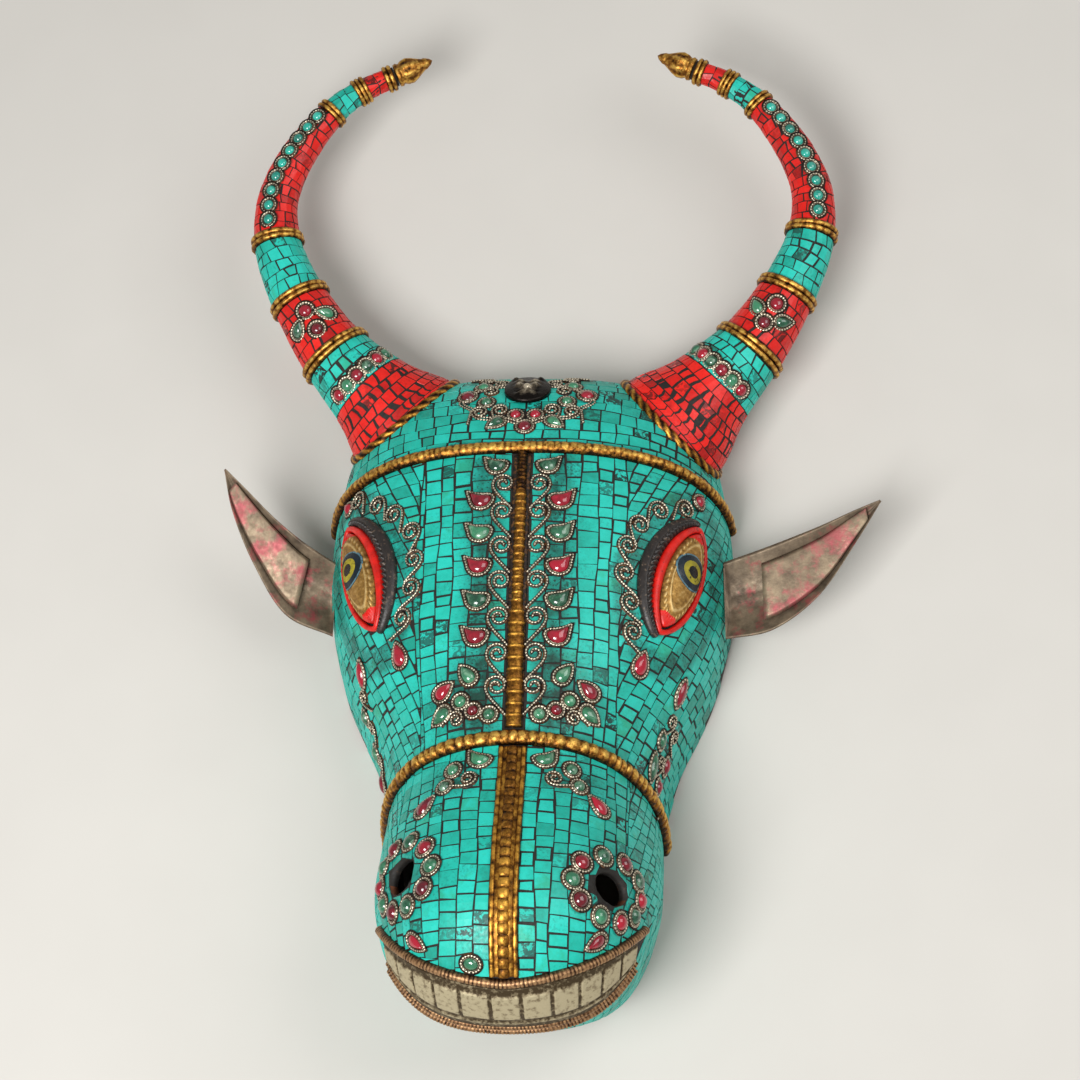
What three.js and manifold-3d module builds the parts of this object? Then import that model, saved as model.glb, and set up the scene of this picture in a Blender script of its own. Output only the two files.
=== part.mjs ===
import * as THREE from 'three';
import { mergeVertices } from 'three/addons/utils/BufferGeometryUtils.js';
import Module from 'manifold-3d';

const wasm = await Module();
wasm.setup();

// A bull's head mask of sheet copper, hollow and open at the back, inlaid with turquoise and coral
// and set with gems in wire mounts. It lies on the rim of its open back with the face up.
// Millimetres. While the pieces are made, the rim is on z = 0, x = 0 is the middle of the face, the
// horns point to +Y and the muzzle to -Y; the group at the end moves the origin under the middle
// of the whole mask.

// Driving sizes
const WALL = 4;
const GAP = 0.3;
const SUNK = 1.6;
const MIDDLE = new THREE.Vector3(12.2, -16.8, 0);

// The head from poll to chin. Each station has the ridge point (y, z), the half-width and y of the
// rim below it, and how much the side tucks in above the rim.
const STATIONS = [
  [76, 0, 0, 76, 0],
  [73, 24, 50, 73, 0],
  [65, 45, 75, 62, 0],
  [48, 63, 92, 38, 0],
  [15, 79, 101, 0, 0],
  [-30, 90, 104, -47, 0],
  [-78, 97, 94, -96, 0],
  [-118, 101, 76, -137, 0],
  [-148, 105, 70, -168, 0.02],
  [-176, 117, 75, -196, 0.12],
  [-205, 132, 80, -220, 0.26],
  [-232, 139, 77, -237, 0.32],
  [-253, 134, 70, -246, 0.32],
  [-270, 120, 61, -250, 0.28],
  [-279, 97, 50, -252, 0.22],
  [-278, 70, 38, -253, 0.14],
  [-269, 36, 24, -254, 0.06],
  [-255, 0, 0, -255, 0],
];
const SIDE_POWER = 2.5;
const TOP_POWER = 2.3;
const ROWS_OUTSIDE = 20;
const COLUMNS_OUTSIDE = 12;
const ROWS_INSIDE = 11;
const COLUMNS_INSIDE = 8;
const POLE_INSET = 0.006;

// Nostrils: middle of the hole, and half-sizes (along, across) of the hole and of the ring of stones.
const NOSTRILS = new Map([
  [1, { along: 352, across: 54, hole: [8, 10.5], ring: [16.5, 22.5] }],
  [-1, { along: 344, across: 57, hole: [9, 10], ring: [19, 21] }],
]);

// A horn from its root inside the head to the gilt tip: centre line (x, y, z), radius in plan and
// how flat the section is. The pair sits a little to one side of the face.
const HORN_STATIONS = [
  [54, 33, 27, 31, 0.84],
  [70, 46, 29, 33, 0.82],
  [88, 63, 34, 23.5, 0.95],
  [109, 85, 38, 18, 1],
  [125, 109, 41, 15, 1],
  [136, 131, 43, 13.2, 1],
  [141.5, 151, 44, 11.8, 1],
  [141, 173, 46, 10.4, 1],
  [131, 197, 48, 9, 1],
  [113, 221, 50, 6.9, 1],
  [97, 233, 51, 5.9, 1],
  [80, 240.5, 52, 5.3, 1],
];
const HORN_OFFSET = 5;
const HORN_SIDES = 10;
const HORN_STEPS = 15;

// Gilt wire rings on a horn: distance from the tip end, width and height, and how many swells.
const HORN_RINGS = [
  { name: 'tip', run: 3.5, width: 5, height: 1.6, wires: 1 },
  { name: 'high', run: 20, width: 7, height: 1.6, wires: 2 },
  { name: 'upper', run: 40, width: 5, height: 1.6, wires: 1 },
  { name: 'middle', run: 121, width: 6, height: 1.8, wires: 1 },
  { name: 'lower', run: 157, width: 6, height: 1.8, wires: 1 },
  { name: 'low', run: 193, width: 6, height: 1.8, wires: 1 },
];

const finish = (color, roughness, metalness) =>
  new THREE.MeshStandardMaterial({ color, roughness, metalness });
const FINISHES = {
  turquoise: finish(0x1fb8a6, 0.45, 0),
  coral: finish(0xd4201a, 0.45, 0),
  gilt: finish(0xa87a32, 0.4, 0.9),
  copper: finish(0x7c6a52, 0.55, 0.8),
  silver: finish(0x6b655a, 0.45, 0.8),
  ruby: finish(0x96182c, 0.3, 0),
  jade: finish(0x2f7350, 0.3, 0),
  redPaint: finish(0xb8221c, 0.6, 0),
  blackPaint: finish(0x1c1a19, 0.7, 0),
  teeth: finish(0xb7ad95, 0.5, 0.3),
};

// Solids

/** Closed solid from points and triangles, turned so that its faces point out. */
function solid(points, faces) {
  let volume = 0;
  for (let i = 0; i < faces.length; i += 3) {
    const [a, b, c] = faces.slice(i, i + 3).map((index) => points[index]);
    volume += a.dot(b.clone().cross(c));
  }
  if (volume < 0) faces.reverse();
  const geometry = new THREE.BufferGeometry().setFromPoints(points);
  geometry.setIndex(faces);
  const merged = mergeVertices(geometry, 1e-4);
  const made = new wasm.Manifold(new wasm.Mesh({
    numProp: 3,
    vertProperties: merged.attributes.position.array,
    triVerts: new Uint32Array(merged.index.array),
  }));
  return made;
}

/** Solid through a row of closed rings of points, closed over both ends, or a loop that meets itself. */
function loft(rings, loop = false) {
  const count = rings[0].length;
  const faces = [];
  const spans = loop ? rings.length : rings.length - 1;
  for (let i = 0; i < spans; i++) {
    const near = i * count;
    const far = ((i + 1) % rings.length) * count;
    for (let j = 0; j < count; j++) {
      const next = (j + 1) % count;
      faces.push(near + j, near + next, far + j, near + next, far + next, far + j);
    }
  }
  if (!loop) {
    const last = (rings.length - 1) * count;
    for (let j = 1; j + 1 < count; j++) {
      faces.push(0, j + 1, j, last, last + j, last + j + 1);
    }
  }
  return solid(rings.flat(), faces);
}

const lerp = THREE.MathUtils.lerp;
const steps = (count) => Array.from({ length: count + 1 }, (unused, i) => i / count);
const turns = (count) => Array.from({ length: count }, (unused, i) => (2 * Math.PI * i) / count);
const join = (solids) => solids.reduce((sum, next) => sum.add(next));

/** The largest body of a solid that a cut left in several. */
const largest = (made) => made.decompose().reduce((best, body) => (body.volume() > best.volume() ? body : best));

// The head's surface

const straight = (points) => new THREE.CatmullRomCurve3(points, false, 'catmullrom', 0.5);
const ridgeLine = straight(STATIONS.map(([y, z]) => new THREE.Vector3(0, y, z)));
const rimLine = straight(STATIONS.map(([, , x, y, tuck]) => new THREE.Vector3(x, y, tuck)));

/** Point of the head at station s (0 poll, 1 chin) and turn t (0 left rim, 0.5 ridge, 1 right rim). */
function skin(s, t) {
  const ridge = ridgeLine.getPoint(s);
  const rim = rimLine.getPoint(s);
  const cosine = Math.cos(Math.PI * t);
  const sine = Math.max(Math.sin(Math.PI * t), 0);
  const side = -Math.sign(cosine) * Math.abs(cosine) ** (2 / SIDE_POWER);
  const rise = sine ** (2 / TOP_POWER);
  const width = Math.max(rim.x, 0) * (1 - rim.z * (1 - rise) ** 2);
  return new THREE.Vector3(width * side, lerp(rim.y, ridge.y, rise), Math.max(ridge.z, 0) * rise);
}

/** The same point moved out along the surface's normal, or in where lift is negative. */
function lifted(s, t, lift) {
  const step = 1e-3;
  const down = skin(Math.min(s + step, 1), t).sub(skin(Math.max(s - step, 0), t));
  const round = skin(s, Math.min(t + step, 1)).sub(skin(s, Math.max(t - step, 0)));
  return skin(s, t).addScaledVector(down.cross(round).normalize(), lift);
}

const RIDGE_STEPS = 400;
const ridgeLengths = [0];
for (let i = 1; i <= RIDGE_STEPS; i++) {
  const piece = skin(i / RIDGE_STEPS, 0.5).distanceTo(skin((i - 1) / RIDGE_STEPS, 0.5));
  ridgeLengths.push(ridgeLengths[i - 1] + piece);
}
const RIDGE_LENGTH = ridgeLengths[RIDGE_STEPS];

/** Station at a distance along the ridge from the poll. */
function stationAt(along) {
  const i = Math.min(Math.max(ridgeLengths.findIndex((length) => length > along), 1), RIDGE_STEPS);
  const part = (along - ridgeLengths[i - 1]) / (ridgeLengths[i] - ridgeLengths[i - 1]);
  return THREE.MathUtils.clamp((i - 1 + part) / RIDGE_STEPS, 0, 1);
}

/** Point found as a tailor measures: along the ridge, then across over the side, then lifted. */
function seat(along, across, lift = 0) {
  const s = stationAt(along);
  const stepsDown = 60;
  const goal = Math.abs(across);
  let run = 0;
  let last = skin(s, 0.5);
  let t = 1;
  for (let i = 1; i <= stepsDown; i++) {
    const point = skin(s, 0.5 + (0.5 * i) / stepsDown);
    const piece = point.distanceTo(last);
    if (run + piece >= goal) {
      t = 0.5 + (0.5 * (i - 1 + (goal - run) / piece)) / stepsDown;
      break;
    }
    run += piece;
    last = point;
  }
  const point = lifted(s, t, lift);
  point.x *= Math.sign(across) || 1;
  return point;
}

/** The head as a full solid standing on z = 0, grown by lift; a deep one runs on below z = 0. */
function headSolid(lift, rows, columns, depth = 0) {
  const rings = steps(rows).map((part) => {
    const along = lerp(POLE_INSET, 1 - POLE_INSET, part) * RIDGE_LENGTH;
    const s = stationAt(along);
    const ring = steps(columns).map((t) => {
      const point = lifted(s, t, lift);
      if (t === 0 || t === 1) point.z = -depth;
      return point;
    });
    return ring;
  });
  return loft(rings);
}

const headCutter = headSolid(GAP, ROWS_OUTSIDE, COLUMNS_OUTSIDE);

/** A piece that lies on the head: what is sunk into the head is cut away. */
const onHead = (piece) => piece.subtract(headCutter);

// Pieces that follow the head's surface

/** Strip along a path on the head. section lists [sideways, lift] points over the top. */
function strip(path, section, count) {
  const nudge = 0.01;
  const rings = steps(count).map((u) => {
    const [along, across] = path(u);
    const [a0, c0] = path(Math.max(u - nudge, 0));
    const [a1, c1] = path(Math.min(u + nudge, 1));
    const length = Math.hypot(a1 - a0, c1 - c0);
    const sideAlong = (c1 - c0) / length;
    const sideAcross = -(a1 - a0) / length;
    return section(u).map(([offset, lift]) =>
      seat(along + offset * sideAlong, across + offset * sideAcross, lift));
  });
  return loft(rings);
}

/** Section of a half-round moulding, sunk below the surface so that it can be cut to it. */
const halfRound = (width, height) => [
  [-width / 2, -SUNK],
  [-width / 2, height * 0.5],
  [0, height],
  [width / 2, height * 0.5],
  [width / 2, -SUNK],
];

/** Flat section with bevelled edges, for a backing plate. */
const flatBar = (width, height) => [
  [-width / 2, -SUNK],
  [-width / 2 + 0.6, height],
  [width / 2 - 0.6, height],
  [width / 2, -SUNK],
];

/** Section of a chain of stones: wide and high at each stone, narrow and low between two. */
const chain = (count, width, height) => (u) => {
  const stone = Math.round(u * 2 * count) % 2 === 1;
  const wide = stone ? width : width * 0.5;
  const high = stone ? height : height * 0.5;
  return [[-wide / 2, -SUNK], [-wide * 0.3, high], [wide * 0.3, high], [wide / 2, -SUNK]];
};

const GEM_SIDES = 6;
const GEM_HEIGHT = 3.8;
const MOUNT_FOOT = 0.8;

/**
 * Gem in its wire mount, as one low dome: middle at (along, across), length and width of the
 * mount, turn of the length from the along direction, and the height of top and foot above the head.
 */
function gem([along, across, length, width = length, turn = 0], height = GEM_HEIGHT, foot = MOUNT_FOOT) {
  const levels = [[1, foot], [0.62, height]];
  const rings = levels.map(([size, lift]) => turns(GEM_SIDES).map((angle) => {
    const x = (Math.cos(angle) * length * size) / 2;
    const y = (Math.sin(angle) * width * size) / 2;
    const a = along + x * Math.cos(turn) - y * Math.sin(turn);
    const c = across + x * Math.sin(turn) + y * Math.cos(turn);
    return seat(a, c, lift);
  }));
  return loft(rings);
}

/** Straight path between two points of the head, for strip. */
const between = ([a0, c0], [a1, c1]) => (u) => [lerp(a0, a1, u), lerp(c0, c1, u)];

/** Mirrors a gem's place to the other side of the face. */
const mirrored = (side) => ([a, c, length, width, turn = 0]) => [a, c * side, length, width, turn * side];

// Head shell

function headShell() {
  const outer = headSolid(0, ROWS_OUTSIDE, COLUMNS_OUTSIDE);
  const inner = headSolid(-WALL, ROWS_INSIDE, COLUMNS_INSIDE, 5);
  let shell = outer.subtract(inner);
  for (const [side, { along, across, hole }] of NOSTRILS) {
    const reach = 9;
    const rings = [-reach, reach].map((lift) => turns(8).map((angle) =>
      seat(along + hole[0] * Math.cos(angle), side * (across + hole[1] * Math.sin(angle)), lift)));
    shell = shell.subtract(loft(rings));
  }
  return shell;
}

// Horns

const hornLine = straight(HORN_STATIONS.map(([x, y, z]) => new THREE.Vector3(x, y, z)));
const hornSizes = straight(HORN_STATIONS.map(([, , , radius, flat]) => new THREE.Vector3(radius, flat, 0)));
const HORN_LENGTH = hornLine.getLength();
const UP = new THREE.Vector3(0, 0, 1);

/** Point round a horn: run from the tip end, angle from its outer side over the top, and lift. */
function hornPoint(side, run, angle, lift) {
  const t = hornLine.getUtoTmapping(THREE.MathUtils.clamp(1 - run / HORN_LENGTH, 0, 1));
  const centre = hornLine.getPoint(t);
  const tangent = hornLine.getTangent(t);
  const size = hornSizes.getPoint(t);
  const outward = tangent.clone().cross(UP).normalize();
  const upward = outward.clone().cross(tangent).normalize();
  const point = centre
    .addScaledVector(outward, (size.x + lift) * Math.cos(angle))
    .addScaledVector(upward, (size.x * size.y + lift) * Math.sin(angle))
    .addScaledVector(tangent, run < 0 ? -run : 0);
  point.x = point.x * side + HORN_OFFSET;
  return point;
}

/** Full round solid along a horn from its tip end to its root, grown by lift. */
const fullHorn = (side, lift) => loft(steps(HORN_STEPS).map((u) =>
  turns(HORN_SIDES).map((angle) => hornPoint(side, u * HORN_LENGTH, angle, lift))));
const hornCutters = new Map([-1, 1].map((side) => [side, fullHorn(side, GAP)]));

const horn = (side) => fullHorn(side, 0).subtract(headCutter);

/** Ring of gilt wires round a horn, clear of it by a little more than the horn's facets need. */
function hornRing(side, { run, width, wires, height }) {
  const clearance = GAP + 0.35;
  const profile = [[-width / 2, clearance], [-width / 2, height * 0.8]];
  for (let i = 0; i < wires; i++) {
    const middle = -width / 2 + (width * (i + 0.5)) / wires;
    profile.push([middle, height * 1.3]);
    if (i + 1 < wires) profile.push([middle + width / wires / 2, height * 0.8]);
  }
  profile.push([width / 2, height * 0.8], [width / 2, clearance]);
  const rings = turns(HORN_SIDES).map((angle) =>
    profile.map(([offset, lift]) => hornPoint(side, run + offset, angle, lift)));
  return loft(rings, true);
}

function hornTip(side) {
  const profile = [[-0.5, 4.6], [-4, 6.6], [-9, 6.2], [-15, 3.6], [-21, 0.8]];
  const endRadius = HORN_STATIONS[HORN_STATIONS.length - 1][3];
  return loft(profile.map(([run, radius]) =>
    turns(8).map((angle) => hornPoint(side, run, angle, radius - endRadius))));
}

/** Gilt rope in the corner between a horn's root and the head. */
function hornCollar(side) {
  const rope = 4.2;
  const corner = fullHorn(side, rope).intersect(headSolid(rope, ROWS_OUTSIDE, COLUMNS_OUTSIDE));
  return largest(corner.subtract(hornCutters.get(side)).subtract(headCutter));
}

const hornRadius = (run) => hornSizes.getPoint(hornLine.getUtoTmapping(1 - run / HORN_LENGTH)).x;

/** Gem on a horn: run and angle of its middle, size along the horn and round it. */
function hornGem(side, [run, degrees, length, width = length], height = 3.2) {
  const levels = [[1.1, -SUNK], [0.62, height]];
  return loft(levels.map(([size, lift]) => turns(GEM_SIDES).map((angle) => hornPoint(
    side,
    run + (Math.cos(angle) * length * size) / 2,
    THREE.MathUtils.degToRad(degrees) + (Math.sin(angle) * width * size) / 2 / hornRadius(run),
    lift,
  ))));
}

/** Strip on a horn along its length at one angle; section(u) lists [degrees round it, lift] points. */
function hornStripe(side, [from, to], degrees, section, count) {
  return loft(steps(count).map((u) => section(u).map(([offset, lift]) => {
    const run = lerp(from, to, u);
    return hornPoint(side, run, THREE.MathUtils.degToRad(degrees) + offset / hornRadius(run), lift);
  })));
}

/** Strip part of the way round a horn at one run; section(u) lists [along the horn, lift] points. */
function hornGirdle(side, run, [from, to], section, count) {
  return loft(steps(count).map((u) => section(u).map(([offset, lift]) =>
    hornPoint(side, run + offset, THREE.MathUtils.degToRad(lerp(from, to, u)), lift))));
}

const onHorn = (side, made) => made.subtract(hornCutters.get(side));

/** Row of nine round stones along the outer part of the horn. */
const hornGemRow = (side) => onHorn(side, hornStripe(side, [44, 116], 78, chain(9, 7.6, 3), 18));

/** Row of gems round the horn, above its root. */
const hornBaseRow = (side) => onHorn(side, hornGirdle(side, 214, [34, 150], chain(6, 8, 3.2), 12));

function hornCluster(side) {
  const middle = { run: 175, degrees: 84 };
  const gems = [[-6, 0, 9, 7], [6, 0, 9, 7], [0, -30, 8], [0, 30, 8]];
  const placed = gems.map(([run, turn, ...size]) =>
    hornGem(side, [middle.run + run, middle.degrees + turn, ...size]));
  const spread = [middle.degrees - 34, middle.degrees + 34];
  const plate = hornGirdle(side, middle.run, spread, () => flatBar(13, 1.2), 4);
  return onHorn(side, join([plate, ...placed]));
}

// Ears

// Leaf of sheet copper from root to tip, with its long edges above and below the middle line, as
// points in space, and a lining plate inside it. The two ears were bent by hand, each its own way.
const EARS = new Map([
  [1, {
    upper: [[99, -33, 38], [122, -27, 45], [146, -19, 50], [164, -12, 54], [178, -7, 57]],
    lower: [[100, -72, 32], [124, -69, 38], [147, -53, 44], [166, -27, 51], [178.6, -7.6, 57]],
  }],
  [-1, {
    upper: [[-98, -32, 38], [-113, -24, 46], [-128, -13, 53], [-142, 0, 60], [-153, 10, 66]],
    lower: [[-100, -68, 28], [-124, -58, 34], [-140, -34, 44], [-150, -10, 56], [-153.6, 9.6, 66]],
  }],
]);
const EAR_THICK = 1.8;
const EAR_CUP = 9;
const EAR_FULL_WIDTH = 30;

/**
 * Sheet between two long edges, from one part of the way to another. It sags to a cup in the middle,
 * or lies flat at the cup's depth at one level between the edges.
 */
function leaf({ upper, lower }, { from, to, level, lift, thick, inset, rows, columns }) {
  const edges = [upper, lower].map((edge) => straight(edge.map((point) => new THREE.Vector3(...point))));
  const at = (u, v) => {
    const [high, low] = edges.map((edge) => edge.getPoint(u));
    const width = high.distanceTo(low);
    const across = low.clone().sub(high);
    const middle = high.clone().lerp(low, v);
    const tangent = edges[0].getTangent(u).add(edges[1].getTangent(u)).normalize();
    const face = across.normalize().cross(tangent);
    if (face.z < 0) face.negate();
    const sag = EAR_CUP * Math.sin(Math.PI * (level ?? v)) * Math.min(1, width / EAR_FULL_WIDTH);
    return { point: middle, face, sag };
  };
  const rings = steps(rows).map((part) => {
    const u = lerp(from, to, part);
    const top = steps(columns).map((v) => {
      const { point, face, sag } = at(u, lerp(inset, 1 - inset, v));
      return point.clone().addScaledVector(face, lift - sag);
    });
    const bottom = steps(columns).map((v) => {
      const { point, face, sag } = at(u, lerp(inset, 1 - inset, v));
      return point.clone().addScaledVector(face, lift - sag - thick);
    });
    return [...top, ...bottom.reverse()];
  });
  return loft(rings);
}

const ear = (side) => largest(leaf(EARS.get(side), {
  from: 0, to: 0.985, lift: 0, thick: EAR_THICK, inset: 0, rows: 6, columns: 4,
}).subtract(headCutter));

/** Flat plate inside an ear, its long edges close over the cup. */
const earLining = (side) => leaf(EARS.get(side), {
  from: 0.2, to: 0.8, level: 0.16, lift: 2.1, thick: 0.9, inset: 0.16, rows: 4, columns: 2,
});

// Bands and strips

const BROW_ALONG = 110;
const MUZZLE_ALONG = 270;

const browPath = (u) => {
  const across = lerp(-140, 140, u);
  return [BROW_ALONG + 6 * (across / 130) ** 2, across];
};
const muzzlePath = (u) => {
  const across = lerp(-138, 138, u);
  return [MUZZLE_ALONG + 10 * (Math.abs(across) / 110) ** 1.2, across];
};
const browBand = () => onHead(strip(browPath, () => halfRound(7, 4), 14));
const muzzleBand = () => onHead(strip(muzzlePath, () => halfRound(8, 4.4), 12));

/** Flat strip down the ridge with a raised rib along its middle. */
const ribbed = (width, rib, height) => [
  [-width / 2, -SUNK],
  [-width / 2, 1.4],
  [-rib / 2, height],
  [rib / 2, height],
  [width / 2, 1.4],
  [width / 2, -SUNK],
];
const foreheadRidge = () =>
  onHead(strip(between([115, 0], [264.5, 0]), () => ribbed(10, 4, 4.6), 8));
const noseStrip = () => onHead(strip(between([275.5, 0], [399, 0]), () => ribbed(13.5, 6, 3.6), 7));

// Mouth: two lip beads that meet at the corners, and the teeth plate between them.

const MOUTH = { half: 86, upperTop: 403, upperDrop: 38, lowerTop: 434, lowerDrop: 59 };
const upperLine = (across) => MOUTH.upperTop - MOUTH.upperDrop * (Math.abs(across) / MOUTH.half) ** 1.6;
const lowerLine = (across) => MOUTH.lowerTop - MOUTH.lowerDrop * (Math.abs(across) / MOUTH.half) ** 1.9;

const upperLip = () => onHead(strip((u) => {
  const across = lerp(-MOUTH.half, MOUTH.half, u);
  return [upperLine(across), across];
}, () => halfRound(5, 3.6), 9));
const lowerLipPath = (half) => (u) => {
  const across = lerp(-half, half, u);
  return [lowerLine(across) + 3, across];
};
const lowerLip = () => onHead(strip(lowerLipPath(MOUTH.half - 6), () => halfRound(8, 4.4), 9));

/** Plate of teeth with a groove between each two, from one mouth corner to the other. */
function teeth() {
  const half = 68;
  const count = 9;
  const groove = 0.9;
  const cuts = Array.from({ length: count + 1 }, (unused, i) => lerp(-half, half, i / count));
  const stops = cuts.flatMap((cut) => [[cut - groove, 0], [cut, 1], [cut + groove, 0]])
    .filter(([across]) => Math.abs(across) <= half);
  const rings = stops.map(([across, depth]) => {
    const top = upperLine(across) + 3.4;
    const bottom = lowerLine(across) - 2.2;
    return [[top, -SUNK], [top, 2.2 - depth], [bottom, 3.2 - depth], [bottom, -SUNK]]
      .map(([along, lift]) => seat(along, across, lift));
  });
  const clear = strip(lowerLipPath(MOUTH.half), () => [[-4.4, -3], [-4.4, 6], [4.4, 6], [4.4, -3]], 9);
  return onHead(loft(rings)).subtract(clear);
}

// Eyes

const EYE = { length: 60, width: 21, turn: -0.35 };

// Middle of each eye (along, across). The two sides of the face were laid out by hand and differ.
const EYES = new Map([[1, [173.3, 84]], [-1, [169, 88]]]);

/** Point of the almond of an eye, grown by so much, at an angle, for one side of the face. */
function almond(side, angle, grow, size = 1) {
  const pinch = Math.abs(Math.sin(angle)) ** 0.35;
  const x = (EYE.length / 2 + grow) * size * Math.cos(angle);
  const y = (EYE.width / 2 + grow) * size * Math.sin(angle) * pinch;
  const [along, across] = EYES.get(side);
  return [
    along + x * Math.cos(EYE.turn) - y * Math.sin(EYE.turn),
    side * (across + x * Math.sin(EYE.turn) + y * Math.cos(EYE.turn)),
  ];
}

function eyeball(side) {
  const levels = [[1, -SUNK], [1, 1.8], [0.72, 4.8], [0.4, 6.8]];
  return onHead(loft(levels.map(([size, lift]) =>
    turns(12).map((angle) => seat(...almond(side, angle, 0, size), lift)))));
}

function eyeRim(side) {
  const section = [[0.5, -SUNK], [0.5, 3.4], [3.8, 2.8], [3.8, -SUNK]];
  return onHead(loft(turns(12).map((angle) =>
    section.map(([grow, lift]) => seat(...almond(side, angle, grow), lift))), true));
}

/** Black brow ridge over the inner side of the eye, thin at both ends. */
function eyelid(side) {
  const [start, end] = [3.3, 6.2];
  const rings = steps(9).map((u) => {
    const swell = 0.25 + 0.75 * Math.sin(Math.PI * u) ** 0.7;
    const inner = 4.4;
    const outer = inner + 8.5 * swell;
    const section = [[inner, -SUNK], [inner, 2.6], [lerp(inner, outer, 0.5), 2.6 + 2.6 * swell],
      [outer, 2], [outer, -SUNK]];
    return section.map(([grow, lift]) => seat(...almond(side, lerp(start, end, u), grow), lift));
  });
  return onHead(loft(rings));
}

// Gem settings. Gems are [along, across, length, width, turn]; each group is one soldered mount.

/** Mount with a backing plate along a path and its gems. */
const setting = (plates, gems) => onHead(join([...plates, ...gems.map((place) => gem(place))]));

function ridgeColumn(side) {
  const alongs = [140, 159, 178, 196.5, 216];
  const gems = [[121, 13, 10, 8.4], ...alongs.map((along) => [along, 20.5, 9.5, 12.5]), [257, 12, 8]];
  const plate = strip(between([117, side * 11.4], [258, side * 11.4]), () => flatBar(11, 1.4), 6);
  return setting([plate], gems.map(mirrored(side)));
}

function foreheadCluster(side) {
  const gems = [[236, 23, 13, 9, 0.5], [242, 36, 12, 9, 0.9], [250, 26.5, 7.5], [253.5, 37, 12, 9, 1.8],
    [255, 21.5, 7]];
  const plate = strip(between([246, side * 17.8], [246, side * 37]), () => flatBar(15, 1.4), 3);
  return setting([plate], gems.map(mirrored(side)));
}

const EYE_GEMS = new Map([
  [1, [[124, 96, 8, 9], [221, 64.5, 13.5, 10, -0.2]]],
  [-1, [[122.5, 103, 7.5, 8.5], [216.5, 62.5, 13.5, 10, -0.2]]],
]);

/** Plate of the chain round the inner side of an eye; it swings out to its full distance in its first third. */
function eyeSurround(side) {
  const [start, end] = [3.7, 5.78];
  const [near, far] = [15.5, 21];
  const path = (u) => almond(side, lerp(start, end, u), lerp(near, far, Math.min(1, u * 3)));
  const gems = EYE_GEMS.get(side).map(mirrored(side));
  const ends = [[0.04, gems[0]], [0.97, gems[1]]].map(([u, place]) =>
    strip(between(path(u), place), () => flatBar(5, 1.4), 2));
  return setting([strip(path, () => flatBar(9, 1.4), 9), ...ends], gems);
}

const CHEEK_GEMS = new Map([
  [1, [[223, 98.5, 15, 8, -0.1], [247, 92, 9, 7], [254, 104.5, 10, 7], [261, 88, 15, 8, -0.1], [266, 98, 9, 7]]],
  [-1, [[213.5, 98.5, 15, 8, 0.2], [228, 111, 9, 7], [243, 114.5, 10, 7], [257, 116, 12, 8], [269, 117, 8, 7]]],
]);
const CHEEK_STEMS = new Map([
  [1, [[223, 99], [240, 99.5], [266, 94]]],
  [-1, [[213.5, 100], [236, 112], [270, 116.5]]],
]);

function cheekSpray(side) {
  const [top, bend, end] = CHEEK_STEMS.get(side).map(([along, across]) => [along, across * side]);
  const stem = strip(between(top, bend), () => flatBar(7, 1.4), 2);
  const spread = strip(between(bend, end), () => flatBar(13, 1.4), 3);
  return setting([stem, spread], CHEEK_GEMS.get(side).map(mirrored(side)));
}

function muzzleSpray(side) {
  const gems = [[282, 15.5, 12, 11], [286.5, 28, 9, 8], [296, 32, 8], [305, 43, 13, 9, 0.9]];
  const plate = strip(between([284, side * 16], [301, side * 40]), () => flatBar(8, 1.4), 4);
  return setting([plate], gems.map(mirrored(side)));
}

/** Ring of ten stones round a nostril. */
function nostrilRing(side) {
  const count = 10;
  const { along, across, ring } = NOSTRILS.get(side);
  const section = chain(count, 0.5, 3.8);
  return onHead(loft(turns(2 * count).map((angle) => section(angle / (2 * Math.PI)).map(([size, lift]) => seat(
    along + ring[0] * (1 + size) * Math.cos(angle),
    side * (across + ring[1] * (1 + size) * Math.sin(angle)),
    lift,
  ))), true));
}

/** Medallion at the poll: a lobed plate, a small beast's face in relief, and gems round it. */
function pollMedallion() {
  const plate = loft([-SUNK, 1.6].map((lift) => turns(10).map((angle) =>
    seat(75 + 17 * Math.cos(angle), 33 * Math.sin(angle), lift))));
  const face = gem([66, 0, 24, 22], 8);
  const muzzle = gem([72, 0, 10, 12], 10);
  const ears = [-1, 1].map((side) => gem([58, side * 9, 8, 6], 8));
  const gems = [[66, -29, 9], [66, 29, 9], [77, 32.5, 9, 9], [77, -32.5, 9, 9], [90, -15, 11, 8], [90, 15, 11, 8],
    [84, -5.5, 8], [84, 5.5, 8], [94, 0, 8]];
  return onHead(join([plate, face, muzzle, ...ears, ...gems.map((place) => gem(place))]));
}

const lipGem = (place) => onHead(gem(place, 3.4, -SUNK));

// The whole mask

const mask = new THREE.Group();
mask.position.copy(MIDDLE).negate();

/** Adds a solid to the mask as a named mesh. */
function add(name, made, material) {
  const { vertProperties, triVerts } = made.getMesh();
  const geometry = new THREE.BufferGeometry();
  geometry.setAttribute('position', new THREE.BufferAttribute(new Float32Array(vertProperties), 3));
  geometry.setIndex(new THREE.BufferAttribute(new Uint32Array(triVerts), 1));
  geometry.computeVertexNormals();
  const mesh = new THREE.Mesh(geometry, material);
  mesh.name = name;
  mask.add(mesh);
}

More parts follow.
